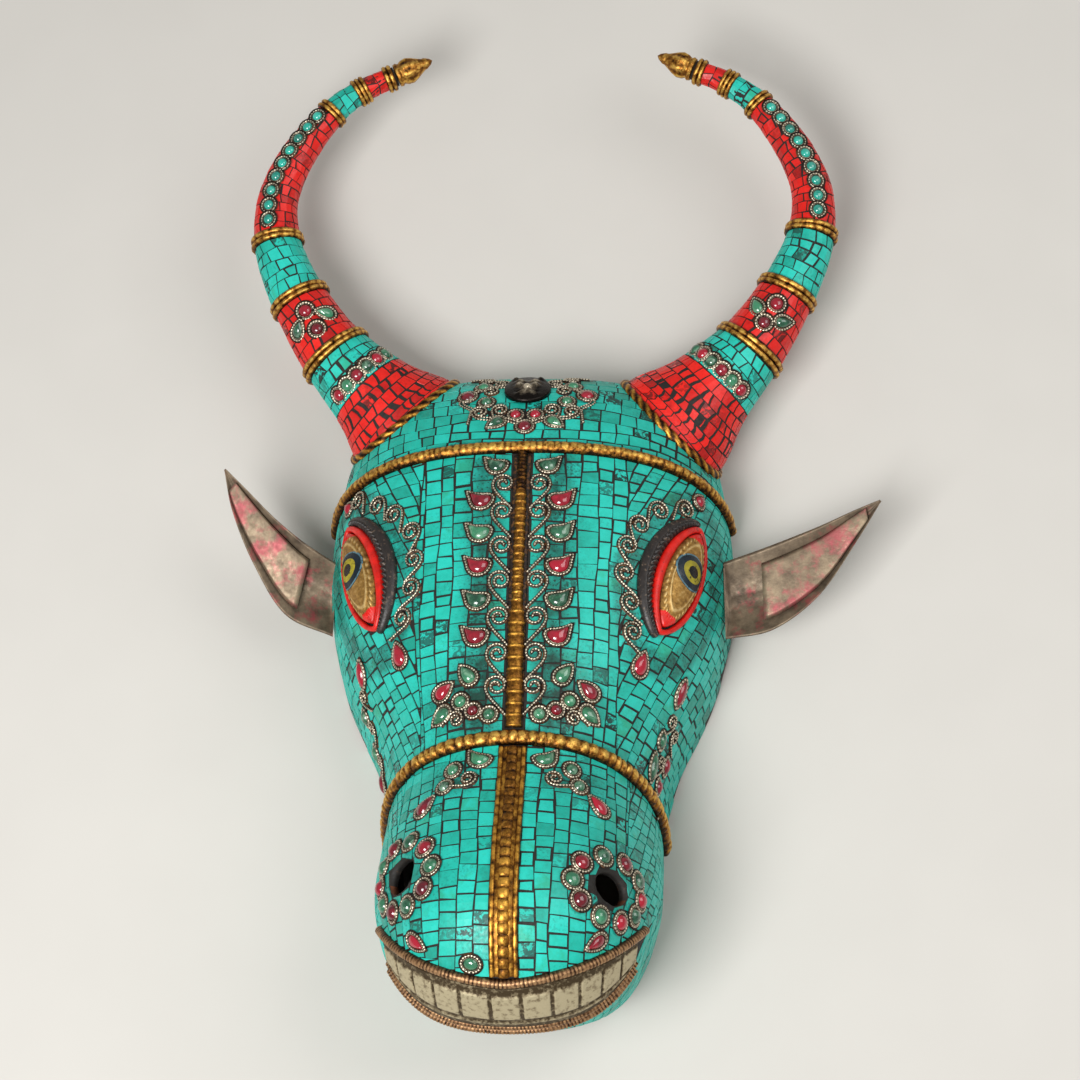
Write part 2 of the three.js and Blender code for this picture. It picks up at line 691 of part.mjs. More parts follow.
add('head_shell', headShell(), FINISHES.turquoise);
add('brow_band', browBand(), FINISHES.gilt);
add('muzzle_band', muzzleBand(), FINISHES.gilt);
add('forehead_ridge', foreheadRidge(), FINISHES.gilt);
add('nose_strip', noseStrip(), FINISHES.gilt);
add('upper_lip', upperLip(), FINISHES.gilt);
add('teeth', teeth(), FINISHES.teeth);
add('lower_lip', lowerLip(), FINISHES.gilt);
add('poll_medallion', pollMedallion(), FINISHES.silver);
add('middle_lip_gem', lipGem([393, -15, 8, 9]), FINISHES.jade);

for (const [label, side] of [['left', -1], ['right', 1]]) {
  add(`${label}_horn`, horn(side), FINISHES.coral);
  add(`${label}_horn_tip`, hornTip(side), FINISHES.gilt);
  for (const ring of HORN_RINGS) add(`${label}_${ring.name}_horn_ring`, hornRing(side, ring), FINISHES.gilt);
  add(`${label}_horn_collar`, hornCollar(side), FINISHES.gilt);
  add(`${label}_horn_gem_row`, hornGemRow(side), FINISHES.turquoise);
  add(`${label}_horn_cluster`, hornCluster(side), FINISHES.jade);
  add(`${label}_horn_base_row`, hornBaseRow(side), FINISHES.ruby);
  add(`${label}_ear`, ear(side), FINISHES.copper);
  add(`${label}_ear_lining`, earLining(side), FINISHES.copper);
  add(`${label}_eyeball`, eyeball(side), FINISHES.gilt);
  add(`${label}_eye_rim`, eyeRim(side), FINISHES.redPaint);
  add(`${label}_eyelid`, eyelid(side), FINISHES.blackPaint);
  add(`${label}_ridge_column`, ridgeColumn(side), FINISHES.silver);
  add(`${label}_forehead_cluster`, foreheadCluster(side), FINISHES.silver);
  add(`${label}_eye_surround`, eyeSurround(side), FINISHES.silver);
  add(`${label}_cheek_spray`, cheekSpray(side), FINISHES.silver);
  add(`${label}_muzzle_spray`, muzzleSpray(side), FINISHES.silver);
  add(`${label}_nostril_ring`, nostrilRing(side), FINISHES.silver);
  add(`${label}_lip_gem`, lipGem([380.5, side * 45, 13, 8, side * 1.25]), FINISHES.ruby);
}

export default mask;
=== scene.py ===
"""Copper bull head mask: its mosaic, wire mounts, stones, gilding and paint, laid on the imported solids."""
import logging
import math
from collections.abc import Callable, Sequence
from dataclasses import dataclass, field
from enum import Enum

import bmesh
import bpy
import numpy as np
from mathutils import Matrix, Vector
from mathutils.bvhtree import BVHTree


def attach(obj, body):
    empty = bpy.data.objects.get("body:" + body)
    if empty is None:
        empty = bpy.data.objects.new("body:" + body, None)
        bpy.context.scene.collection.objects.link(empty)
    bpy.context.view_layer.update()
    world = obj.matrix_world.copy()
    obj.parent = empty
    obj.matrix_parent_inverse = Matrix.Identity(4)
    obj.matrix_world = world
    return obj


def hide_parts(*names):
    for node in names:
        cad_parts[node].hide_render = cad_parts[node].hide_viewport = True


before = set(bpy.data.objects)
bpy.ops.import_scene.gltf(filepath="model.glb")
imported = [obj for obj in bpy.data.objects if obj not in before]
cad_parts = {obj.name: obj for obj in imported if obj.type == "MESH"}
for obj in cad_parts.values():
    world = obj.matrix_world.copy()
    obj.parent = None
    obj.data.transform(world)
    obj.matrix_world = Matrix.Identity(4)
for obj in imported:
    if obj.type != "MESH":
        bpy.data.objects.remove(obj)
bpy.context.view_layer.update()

LOG = logging.getLogger("bull_head_mask")
BODY = "root"
MM = 0.001
TURN = 2 * math.pi
# Reach of a random phase, about one turn.
PHASE = 6.28
# Where the middle of the mask's box lies from the middle of the face, in millimetres.
MIDDLE = np.array([12.2, -16.8, 0.0])

Array = np.ndarray
Mesh = bmesh.types.BMesh
Socket = bpy.types.NodeSocket
Line = Callable[[Array], Array]
Place = Callable[[Array, Array], Array]


def to_row(points: Array) -> Array:
    """Millimetres round the middle of the face to metres in the shared frame."""
    return (points - MIDDLE) * MM


def side_name(side: int) -> str:
    """The mask's own side: right for 1 and left for -1."""
    return "right" if side > 0 else "left"


def unit(vectors: Array) -> Array:
    """Vectors at length 1."""
    return vectors / np.maximum(np.linalg.norm(vectors, axis=-1, keepdims=True), 1e-9)


def together(*values: Array) -> list[Array]:
    """Numbers and arrays of numbers, spread to one shape."""
    return np.broadcast_arrays(*(np.asarray(value, float) for value in values))


def hump(value: Array, middle: Array, reach: Array) -> Array:
    """Bell of height 1 round a middle."""
    return np.exp(-((value - middle) / reach) ** 2)


def on_profile(profile: Array, share: Array) -> tuple[Array, Array]:
    """Both columns of a profile at shares of the way through its rows."""
    at = share * (len(profile) - 1)
    rows = np.arange(len(profile))
    return np.interp(at, rows, profile[:, 0]), np.interp(at, rows, profile[:, 1])


class Spline:
    """Smooth curve through rows of numbers, the same curve as the solids use."""

    def __init__(self, knots: Sequence[Sequence[float]]) -> None:
        """Keeps the knots and one more beyond each end."""
        rows = np.asarray(knots, float)
        self.knots = np.vstack([2 * rows[0] - rows[1], rows, 2 * rows[-1] - rows[-2]])
        self.spans = len(rows) - 1

    def at(self, t: Array) -> Array:
        """Rows on the curve.

        Args:
            t: places from 0 to 1, evenly shared between the knots.
        Returns:
            One row for each place.
        """
        x = np.clip(np.asarray(t, float), 0, 1) * self.spans
        i = np.minimum(x.astype(int), self.spans - 1)
        w = (x - i)[..., None]
        a, b, c, d = (self.knots[i + k] for k in range(4))
        start, end = (c - a) / 2, (d - b) / 2
        return ((2 * b - 2 * c + start + end) * w**3 + (3 * c - 3 * b - 2 * start - end) * w**2
                + start * w + b)


@dataclass
class HeadForm:
    """The head's surface: a place is a distance along the ridge and a girth distance over the side."""

    stations: tuple[tuple[float, ...], ...] = (
        (76, 0, 0, 76, 0), (73, 24, 50, 73, 0), (65, 45, 75, 62, 0), (48, 63, 92, 38, 0),
        (15, 79, 101, 0, 0), (-30, 90, 104, -47, 0), (-78, 97, 94, -96, 0), (-118, 101, 76, -137, 0),
        (-148, 105, 70, -168, 0.02), (-176, 117, 75, -196, 0.12), (-205, 132, 80, -220, 0.26),
        (-232, 139, 77, -237, 0.32), (-253, 134, 70, -246, 0.32), (-270, 120, 61, -250, 0.28),
        (-279, 97, 50, -252, 0.22), (-278, 70, 38, -253, 0.14), (-269, 36, 24, -254, 0.06),
        (-255, 0, 0, -255, 0),
    )
    side_power: float = 2.5
    top_power: float = 2.3
    girth_rows: int = 260
    # A point well inside the head, which every outward direction points away from.
    heart: tuple[float, float, float] = (0, -90, 20)

    def __post_init__(self) -> None:
        """Works out the surface once, at each millimetre along and across."""
        self.ridge = Spline([(s[0], s[1]) for s in self.stations])
        self.rim = Spline([(s[2], s[3], s[4]) for s in self.stations])
        fine = np.linspace(0, 1, 2401)
        ridge = self.skin(fine, np.full_like(fine, 0.5))
        lengths = np.concatenate([[0], np.cumsum(np.linalg.norm(np.diff(ridge, axis=0), axis=1))])
        self.length = float(lengths[-1])
        self.rows = int(self.length) + 1
        stations = np.interp(np.linspace(0, self.length, self.rows), lengths, fine)
        turns = np.linspace(0.5, 1, 321)
        points = self.skin(stations[:, None], turns[None, :])
        along = np.gradient(points, axis=0)
        across = np.gradient(points, axis=1)
        normals = unit(np.cross(across, along))
        normals[:, 0, 0] = 0
        normals[0] = (0, 1, 0)
        normals[-1] = (0, -1, 0)
        flips = np.sum(normals * (points - self.heart), axis=-1, keepdims=True) < 0
        normals = unit(np.where(flips, -normals, normals))
        pieces = np.linalg.norm(np.diff(points, axis=1), axis=2)
        girths = np.concatenate([np.zeros((self.rows, 1)), np.cumsum(pieces, axis=1)], axis=1)
        self.reach = girths[:, -1]
        steps = np.arange(self.girth_rows, dtype=float)
        self.points = np.stack([
            np.stack([np.interp(steps, girths[i], points[i, :, k]) for k in range(3)], axis=-1)
            for i in range(self.rows)])
        self.normals = unit(np.stack([
            np.stack([np.interp(steps, girths[i], normals[i, :, k]) for k in range(3)], axis=-1)
            for i in range(self.rows)]))

    def skin(self, s: Array, t: Array) -> Array:
        """Points at station s (0 poll, 1 chin) and turn t (0.5 ridge, 1 right rim)."""
        s, t = np.broadcast_arrays(s, t)
        ridge, rim = self.ridge.at(s), self.rim.at(s)
        cosine = np.cos(np.pi * t)
        rise = np.maximum(np.sin(np.pi * t), 0) ** (2 / self.top_power)
        side = -np.sign(cosine) * np.abs(cosine) ** (2 / self.side_power)
        width = np.maximum(rim[..., 0], 0) * (1 - rim[..., 2] * (1 - rise) ** 2)
        y = rim[..., 1] + (ridge[..., 0] - rim[..., 1]) * rise
        return np.stack([width * side, y, np.maximum(ridge[..., 1], 0) * rise], axis=-1)

    def look(self, table: Array, along: Array, across: Array) -> Array:
        """Rows of a table between its millimetres."""
        a = np.clip(along * (self.rows - 1) / self.length, 0, self.rows - 1.001)
        c = np.clip(np.abs(across), 0, self.girth_rows - 1.001)
        i, j = a.astype(int), c.astype(int)
        u, v = (a - i)[..., None], (c - j)[..., None]
        found = ((1 - u) * (1 - v) * table[i, j] + u * (1 - v) * table[i + 1, j]
                 + (1 - u) * v * table[i, j + 1] + u * v * table[i + 1, j + 1])
        return found * np.stack([np.where(across < 0, -1.0, 1.0), np.ones_like(u[..., 0]),
                                 np.ones_like(u[..., 0])], axis=-1)

    def normal(self, along: Array, across: Array) -> Array:
        """Outward directions at places."""
        along, across = together(along, across)
        return unit(self.look(self.normals, along, across))

    def seat(self, along: Array, across: Array, lift: Array = 0.0) -> Array:
        """Points at places, lifted off the surface, in millimetres."""
        along, across, lift = together(along, across, lift)
        return self.look(self.points, along, across) + self.normal(along, across) * lift[..., None]

    def patch(self, along: float, across: float, x: Array, y: Array,
              turn: float = 0.0) -> tuple[Array, Array]:
        """Places measured in true millimetres from one place.

        Args:
            along: distance of the middle along the ridge.
            across: girth distance of the middle.
            x: millimetres down the face, before the turn.
            y: millimetres over the side, away from the ridge, before the turn.
            turn: turn from down the face to over the side, in radians.
        Returns:
            Distances along and across.
        """
        mirror = -1.0 if across < 0 else 1.0
        down = x * math.cos(turn) - y * math.sin(turn)
        over = x * math.sin(turn) + y * math.cos(turn)
        start = abs(across)
        here = self.seat(np.array([along - 1, along + 1, along, along]),
                         np.array([start, start, start + 0.5, start + 1.5]))
        ahead = (here[1] - here[0]) / 2
        aside = here[3] - here[2]
        aside = aside / np.linalg.norm(aside)
        slip = float(ahead @ aside)
        true = math.sqrt(max(float(ahead @ ahead) - slip * slip, 0.04))
        steps_down = down / true
        return along + steps_down, mirror * (start + over - steps_down * slip)


HEAD = HeadForm()


@dataclass
class HornForm:
    """A horn's surface, from its root inside the head to its gilt tip."""

    side: int
    stations: tuple[tuple[float, ...], ...] = (
        (54, 33, 27, 31, 0.84), (70, 46, 29, 33, 0.82), (88, 63, 34, 23.5, 0.95), (109, 85, 38, 18, 1),
        (125, 109, 41, 15, 1), (136, 131, 43, 13.2, 1), (141.5, 151, 44, 11.8, 1), (141, 173, 46, 10.4, 1),
        (131, 197, 48, 9, 1), (113, 221, 50, 6.9, 1), (97, 233, 51, 5.9, 1), (80, 240.5, 52, 5.3, 1),
    )
    offset: float = 5.0

    def __post_init__(self) -> None:
        """Measures the centre line."""
        self.line = Spline([s[:3] for s in self.stations])
        self.sizes = Spline([s[3:] for s in self.stations])
        self.t = np.linspace(0, 1, 801)
        points = self.line.at(self.t)
        self.runs = np.concatenate([[0], np.cumsum(np.linalg.norm(np.diff(points, axis=0), axis=1))])
        self.length = float(self.runs[-1])

    def radius(self, run: Array) -> Array:
        """Radius in plan at distances from the tip end."""
        return self.sizes.at(np.interp(self.length - np.asarray(run, float), self.runs, self.t))[..., 0]

    def point(self, run: Array, angle: Array, lift: Array = 0.0) -> Array:
        """Points round the horn.

        Args:
            run: distance from the tip end.
            angle: angle from the horn's outer side over its top, in radians.
            lift: height above the surface.
        Returns:
            Points in millimetres.
        """
        run, angle, lift = together(run, angle, lift)
        t = np.interp(self.length - run, self.runs, self.t)
        tangent = unit(self.line.at(np.minimum(t + 1e-3, 1)) - self.line.at(np.maximum(t - 1e-3, 0)))
        outward = unit(np.cross(tangent, (0.0, 0.0, 1.0)))
        upward = unit(np.cross(outward, tangent))
        size = self.sizes.at(t)
        wide = size[..., 0] + lift
        high = size[..., 0] * size[..., 1] + lift
        point = (self.line.at(t) + outward * (wide * np.cos(angle))[..., None]
                 + upward * (high * np.sin(angle))[..., None] + tangent * np.maximum(-run, 0)[..., None])
        return point * (self.side, 1, 1) + (self.offset, 0, 0)

    def normal(self, run: Array, angle: Array) -> Array:
        """Outward directions round the horn."""
        return unit(self.point(run, angle, 1.0) - self.point(run, angle, 0.0))


# Meshes


def sheet(rows: int, columns: int, place: Place, weld: float = 2e-6) -> Mesh:
    """Grid whose points are placed by a function, with the seams that meet merged.

    Args:
        rows: cells along v.
        columns: cells along u.
        place: gives points in millimetres round the middle of the face for u and v from 0 to 1;
        a fourth number, where there is one, is kept as how rubbed the surface is and how much highlight is
        painted on it.
        weld: points closer than this become one, in metres.
    Returns:
        The mesh, in metres in the shared frame.
    """
    mesh = bmesh.new()
    bmesh.ops.create_grid(mesh, x_segments=columns, y_segments=rows, size=0.5)
    flat = np.array([vert.co for vert in mesh.verts])
    flat = (flat - flat.min(axis=0)) / np.maximum(np.ptp(flat, axis=0), 1e-9)
    placed = place(flat[:, 0], flat[:, 1])
    points = to_row(placed[:, :3])
    wear_and_highlight = mesh.verts.layers.float.new("wear_and_highlight")
    for i, vert in enumerate(mesh.verts):
        vert.co = points[i]
        if placed.shape[1] > 3:
            vert[wear_and_highlight] = placed[i, 3]
    bmesh.ops.remove_doubles(mesh, verts=mesh.verts, dist=weld)
    return mesh


class Work:
    """A mesh under the hammer: parts are joined to it, and it is finished as one piece."""

    def __init__(self, mesh: Mesh | None = None) -> None:
        """Starts empty, or with a mesh that is ready."""
        self.mesh = mesh or bmesh.new()

    def add(self, part: Mesh, finish: int | None = 0, smooth: bool = True, close: bool = True,
            tone: float | None = None) -> None:
        """Joins a part.

        Args:
            part: mesh of the part, which is used up.
            finish: number of its finish on the piece, or none where its faces have theirs.
            smooth: whether its faces are shaded smooth.
            close: whether open edges are closed and the faces turned outward.
            tone: shade of the part among its like, from 0 to 1.
        """
        if close:
            bmesh.ops.holes_fill(part, edges=[edge for edge in part.edges if edge.is_boundary], sides=0)
            bmesh.ops.recalc_face_normals(part, faces=part.faces)
        if tone is not None:
            layer = part.faces.layers.float.get("tone") or part.faces.layers.float.new("tone")
            for face in part.faces:
                face[layer] = tone
        for face in part.faces:
            face.material_index = face.material_index if finish is None else finish
            face.smooth = smooth
        data = bpy.data.meshes.new("part")
        part.to_mesh(data)
        part.free()
        self.mesh.from_mesh(data)
        bpy.data.meshes.remove(data)

    def finish(self, name: str, finishes: Sequence["Finish"], slot: str,
               stands_for: Sequence[str]) -> bpy.types.Object:
        """Makes the object.

        Args:
            name: name of the piece.
            finishes: its finishes, by number.
            slot: not used.
            stands_for: the solids that it replaces.
        Returns:
            The object, riding on the mask.
        """
        data = bpy.data.meshes.new(name)
        self.mesh.to_mesh(data)
        self.mesh.free()
        piece = bpy.data.objects.new(name, data)
        for finish in finishes:
            data.materials.append(finish.material())
        bpy.context.scene.collection.objects.link(piece)
        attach(piece, BODY)
        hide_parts(*stands_for)
        LOG.info("%s: %d faces", name, len(data.polygons))
        return piece


@dataclass
class Rail:
    """Path on the object with the outward direction at each of its points, in millimetres."""

    points: Array
    normals: Array

    def __post_init__(self) -> None:
        """Measures the path."""
        pieces = np.linalg.norm(np.diff(self.points, axis=0), axis=1)
        self.runs = np.concatenate([[0], np.cumsum(pieces)])
        self.length = float(self.runs[-1])

    def look(self, table: Array, run: Array) -> Array:
        """Rows of a table at distances along the path."""
        return np.stack([np.interp(run, self.runs, table[:, k]) for k in range(3)], axis=-1)

    def at(self, run: Array, loop: bool = False) -> tuple[Array, Array, Array]:
        """Points, outward and sideways directions at distances along the path."""
        step = 0.4
        ahead, behind = run + step, run - step
        if loop:
            ahead, behind = ahead % self.length, behind % self.length
        else:
            ahead, behind = np.minimum(ahead, self.length), np.maximum(behind, 0)
        tangent = unit(self.look(self.points, ahead) - self.look(self.points, behind))
        normal = unit(self.look(self.normals, run))
        aside = unit(np.cross(normal, tangent))
        return self.look(self.points, run), unit(np.cross(tangent, aside)), aside


def on_head(along: Array, across: Array, lift: float = 0.0) -> Rail:
    """Path on the head through places."""
    return Rail(HEAD.seat(along, across, lift), HEAD.normal(along, across))


Section = Callable[[Array, Array], tuple[Array, Array, Array]]


def sweep(rail: Rail, section: Section, step: float, sides: int, loop: bool = False) -> Mesh:
    """Bar along a path.

    Args:
        rail: the path.
        section: gives sideways and outward millimetres and wear with painted highlight for a distance along
            the path and an
        angle round the bar.
        step: distance between its rings.
        sides: faces round it.
        loop: whether its ends meet.
    Returns:
        The mesh, with its ends drawn to points where they don't meet.
    """
    rows = max(int(round(rail.length / step)), 3)

    def place(u: Array, v: Array) -> Array:
        """Points of the bar."""
        run = v * rail.length if loop else np.clip((v * (rows + 2) - 1) / rows, 0, 1) * rail.length
        point, out, aside = rail.at(run, loop)
        sideways, up, wear_and_highlight = section(run, u * TURN)
        if not loop:
            ends = (v < 0.5 / (rows + 2)) | (v > 1 - 0.5 / (rows + 2))
            sideways, up = np.where(ends, 0, sideways), np.where(ends, 0, up)
        return np.column_stack([point + aside * sideways[:, None] + out * up[:, None], wear_and_highlight])

    return sheet(rows if loop else rows + 2, sides, place)


def half_round(angle: Array, high: Array, power: float = 0.8, foot: float = 1.0) -> Array:
    """Height of a strip's section: full above its edges, shallow below them."""
    rise = np.sin(angle)
    return np.where(rise >= 0, high * np.abs(rise) ** power, foot * rise)


def beaded(radius: float = 0.6, pitch: float = 1.5, height: float = 0.0) -> Section:
    """Section of a beaded wire.

    Args:
        radius: of its beads.
        pitch: length of one bead.
        height: of its middle above the path.
    Returns:
        The section.
    """
    def section(run: Array, angle: Array) -> tuple[Array, Array, Array]:
        """Beads with necks between them, bright on their crowns, with a painted highlight on their upper
        side.
        """
        neck = 0.6
        bead = np.abs(np.sin(np.pi * run / pitch)) ** 0.8
        size = radius * (neck + (1 - neck) * bead)
        return (size * np.cos(angle), height + size * np.sin(angle),
                np.clip(0.1 + bead * (0.55 + 0.45 * np.sin(angle)), 0, 1))
    return section


# Pitch of a strip without beads, which only brightens slowly on its way.
PLAIN = 400.0


def moulding(width: float, height: float, pitch: float = PLAIN, depth: float = 0.0,
             flat: float = 1.0) -> Section:
    """Section of a raised strip that swells and narrows into beads or ribs.

    Args:
        width: full width.
        height: full height.
        pitch: length of one bead.
        depth: share of the height lost between beads.
        flat: above 1, the strip keeps its width between beads.
    Returns:
        The section, with its lower half sunk.
    """
    def section(run: Array, angle: Array) -> tuple[Array, Array, Array]:
        """Half round on top, shallow below, with full beads and narrow gaps."""
        bead = np.abs(np.sin(np.pi * run / pitch)) ** 0.6
        top = np.maximum(np.sin(angle), 0)
        high = height * (1 - depth * (1 - bead))
        wide = width / 2 * (1 - depth / flat * (1 - bead) * 0.5)
        # Lighter on its top as a painted highlight, and on the beads, where it is rubbed.
        wear_and_highlight = np.clip(bead * (0.35 + 0.65 * top), 0, 1)
        return wide * np.cos(angle), half_round(angle, high), wear_and_highlight
    return section


# Finishes


def colour(code: str) -> tuple[float, float, float, float]:
    """An sRGB hex colour as linear red, green, blue and alpha."""
    values = [int(code[i:i + 2], 16) / 255 for i in (0, 2, 4)]
    linear = [v / 12.92 if v <= 0.04045 else ((v + 0.055) / 1.055) ** 2.4 for v in values]
    return (*linear, 1.0)


@dataclass
class Recipe:
    """Node tree of one material while it is put together."""

    name: str

    def __post_init__(self) -> None:
        """Makes the material with an empty tree."""
        self.material = bpy.data.materials.new(self.name)
        self.material.use_nodes = True
        self.tree = self.material.node_tree
        self.tree.nodes.clear()

    def node(self, kind: str, inputs: dict | None = None, **settings: object) -> bpy.types.Node:
        """Adds a node.

        Args:
            kind: its type without the ShaderNode prefix.
            inputs: values and linked sockets, by input name or number.
            settings: its properties.
        Returns:
            The node.
        """
        made = self.tree.nodes.new("ShaderNode" + kind)
        for key, value in settings.items():
            setattr(made, key, value)
        for key, value in (inputs or {}).items():
            if isinstance(value, Socket):
                self.tree.links.new(value, made.inputs[key])
            else:
                made.inputs[key].default_value = value
        return made

    def grain(self, size: float, detail: float = 3.0, roughness: float = 0.55,
              distortion: float = 0.0) -> Socket:
        """Cloudy pattern whose patches are so many millimetres wide."""
        place = self.node("TexCoord").outputs["Object"]
        noise = self.node("TexNoise", {"Vector": place, "Scale": 1 / (size * MM), "Detail": detail,
                                       "Roughness": roughness, "Distortion": distortion})
        return noise.outputs["Fac"]

    def own(self, name: str) -> Socket:
        """Number kept on the mesh."""
        return self.node("Attribute", attribute_name=name).outputs["Fac"]

    def range(self, value: Socket, low: float, high: float, to_low: float = 0.0,
              to_high: float = 1.0) -> Socket:
        """Number spread from one range over another."""
        return self.node("MapRange", {"Value": value, "From Min": low, "From Max": high,
                                      "To Min": to_low, "To Max": to_high}).outputs["Result"]

    def maths(self, operation: str, *values: object) -> Socket:
        """Sum on numbers."""
        return self.node("Math", dict(enumerate(values)), operation=operation, use_clamp=True).outputs[0]

    def ramp(self, value: Socket, stops: Sequence[tuple[float, str]]) -> Socket:
        """Colours along a number."""
        made = self.node("ValToRGB", {"Fac": value})
        elements = made.color_ramp.elements
        while len(elements) < len(stops):
            elements.new(0.5)
        for element, (position, code) in zip(elements, stops):
            element.position = position
            element.color = colour(code)
        return made.outputs["Color"]

    def blend(self, share: object, first: object, second: object) -> Socket:
        """Mix of two colours."""
        made = self.node("Mix", data_type="RGBA")
        for key, value in ((0, share), (6, first), (7, second)):
            if isinstance(value, Socket):
                self.tree.links.new(value, made.inputs[key])
            else:
                made.inputs[key].default_value = colour(value) if isinstance(value, str) else value
        return made.outputs[2]

    def done(self, base: Socket, roughness: object, height: Socket | None = None,
             depth: float = 0.1, **constants: object) -> bpy.types.Material:
        """Closes the tree with its shader.

        Args:
            base: colour.
            roughness: number or socket.
            height: pattern that stands up from the surface.
            depth: how far it stands, in millimetres.
            constants: values set on the shader's own sockets.
        Returns:
            The material.
        """
        shader = self.node("BsdfPrincipled", {"Base Color": base, "Roughness": roughness})
        for key, value in constants.items():
            shader.inputs[key.replace("_", " ")].default_value = value
        if height is not None:
            bump = self.node("Bump", {"Height": height, "Distance": depth * MM, "Strength": 1.0})
            self.tree.links.new(bump.outputs["Normal"], shader.inputs["Normal"])
        self.node("OutputMaterial", {"Surface": shader.outputs[0]})
        return self.material


@dataclass(frozen=True)
class ChippedStone:
    """Sawn and rubbed stone chips: each its own shade, with darker matrix in some."""

    name: str
    shades: tuple[str, ...]
    vein: str
    # Colour of grime and of painted shade on the chips.
    grime_and_shade: str
    gloss: float = 0.42
    matrix: float = 0.72

    def make(self) -> bpy.types.Material:
        """The material: clouds of 5 mm, veins 4 mm apart and specks of 1 mm, coarser than in real stone."""
        mix = Recipe(self.name)
        cloud = mix.grain(5.0, 4)
        shade = mix.maths("ADD", mix.own("tone"), mix.range(cloud, 0.3, 0.7, -0.16, 0.16))
        stops = [(i / (len(self.shades) - 1), code) for i, code in enumerate(self.shades)]
        base = mix.ramp(shade, stops)
        lines = mix.grain(4.2, 5, 0.65, 1.2)
        edge = mix.range(mix.maths("ABSOLUTE", mix.maths("SUBTRACT", lines, 0.5)), 0.0, 0.035, 1.0, 0.0)
        veined = mix.maths("MULTIPLY", mix.range(mix.own("matrix"), self.matrix, 1.0), edge)
        base = mix.blend(veined, base, self.vein)
        # Chips darken toward that colour by the mesh's number: grime by the mounts, painted shade beside the
        # wires and a painted shadow under the chin.
        grime_shade = mix.own("grime_and_shade")
        grime_shade_share = mix.maths("MULTIPLY", grime_shade, mix.range(mix.grain(7.0, 4), 0.3, 0.6, 0.45, 1.0))
        base = mix.blend(grime_shade_share, base, self.grime_and_shade)
        specks = mix.range(mix.grain(1.3, 4, 0.6), 0.53, 0.63)
        share = mix.maths("ADD", grime_shade, mix.range(mix.own("matrix"), 0.45, 1.0, 0.04, 0.34))
        base = mix.blend(mix.maths("MULTIPLY", specks, share), base, self.vein)
        rough = mix.range(mix.grain(1.6, 3), 0.3, 0.7, self.gloss - 0.1, self.gloss + 0.14)
        return mix.done(base, rough, mix.grain(1.1, 4), 0.05)


@dataclass(frozen=True)
class WornHighlitMetal:
    """Wire, bead or sheet metal that is bright where it is rubbed and where a highlight is painted on its
    tops, and dark in its hollows.
    """

    name: str
    bright: str
    middle: str
    dark: str
    metal: float = 0.9
    rough: float = 0.4
    patchy: float = 0.28

    def make(self) -> bpy.types.Material:
        """The material: lightness from the mesh's wear and painted highlight, rubbed in patches of 2.4 mm
        over a grain of 1 mm, coarser than real wear.
        """
        mix = Recipe(self.name)
        patch = mix.grain(2.4, 5, 0.65)
        wear_and_highlight = mix.maths("ADD", mix.own("wear_and_highlight"), mix.range(patch, 0.32, 0.68, -self.patchy, self.patchy))
        base = mix.ramp(wear_and_highlight, [(0.12, self.dark), (0.5, self.middle), (0.85, self.bright)])
        rough = mix.range(mix.grain(1.2, 3), 0.3, 0.7, self.rough - 0.08, self.rough + 0.16)
        return mix.done(base, rough, mix.grain(0.9, 4), 0.12, Metallic=self.metal)


@dataclass(frozen=True)
class Cabochon:
    """Polished gem set in a mount: clear colour with clouds, wet gloss."""

    name: str
    deep: str
    clear: str
    cloud: str
    clouds: float = 0.3

    def make(self) -> bpy.types.Material:
        """The material: clouds of 3 to 4 mm under a polished skin."""
        mix = Recipe(self.name)
        shade = mix.maths("ADD", mix.own("tone"), mix.range(mix.grain(3.0, 3), 0.3, 0.7, -0.25, 0.25))
        base = mix.ramp(shade, [(0.1, self.deep), (0.9, self.clear)])
        fog = mix.range(mix.grain(4.0, 4, 0.6, 0.6), 0.5, 0.72, 0.0, self.clouds)
        base = mix.blend(fog, base, self.cloud)
        return mix.done(base, mix.range(mix.grain(2.0, 2), 0.3, 0.7, 0.08, 0.2), mix.grain(2.2, 2), 0.04,
                        IOR=1.7, Coat_Weight=0.5, Coat_Roughness=0.06)


@dataclass(frozen=True)
class Paint:
    """Brushed lacquer, thin in places, over what lies below."""

    name: str
    coat: str
    shade: str
    below: str
    bare: float = 0.12
    rough: float = 0.45

    def make(self) -> bpy.types.Material:
        """The material: brushed unevenly over 5 mm, chipped in flakes of 2 mm."""
        mix = Recipe(self.name)
        base = mix.blend(mix.range(mix.grain(5.0, 4), 0.3, 0.7), self.coat, self.shade)
        chipped = mix.range(mix.grain(2.2, 5, 0.65), 0.68 - self.bare, 0.72 - self.bare)
        base = mix.blend(chipped, base, self.below)
        rough = mix.range(mix.grain(1.8, 3), 0.3, 0.7, self.rough - 0.1, self.rough + 0.15)
        return mix.done(base, rough, mix.grain(1.0, 4), 0.1)


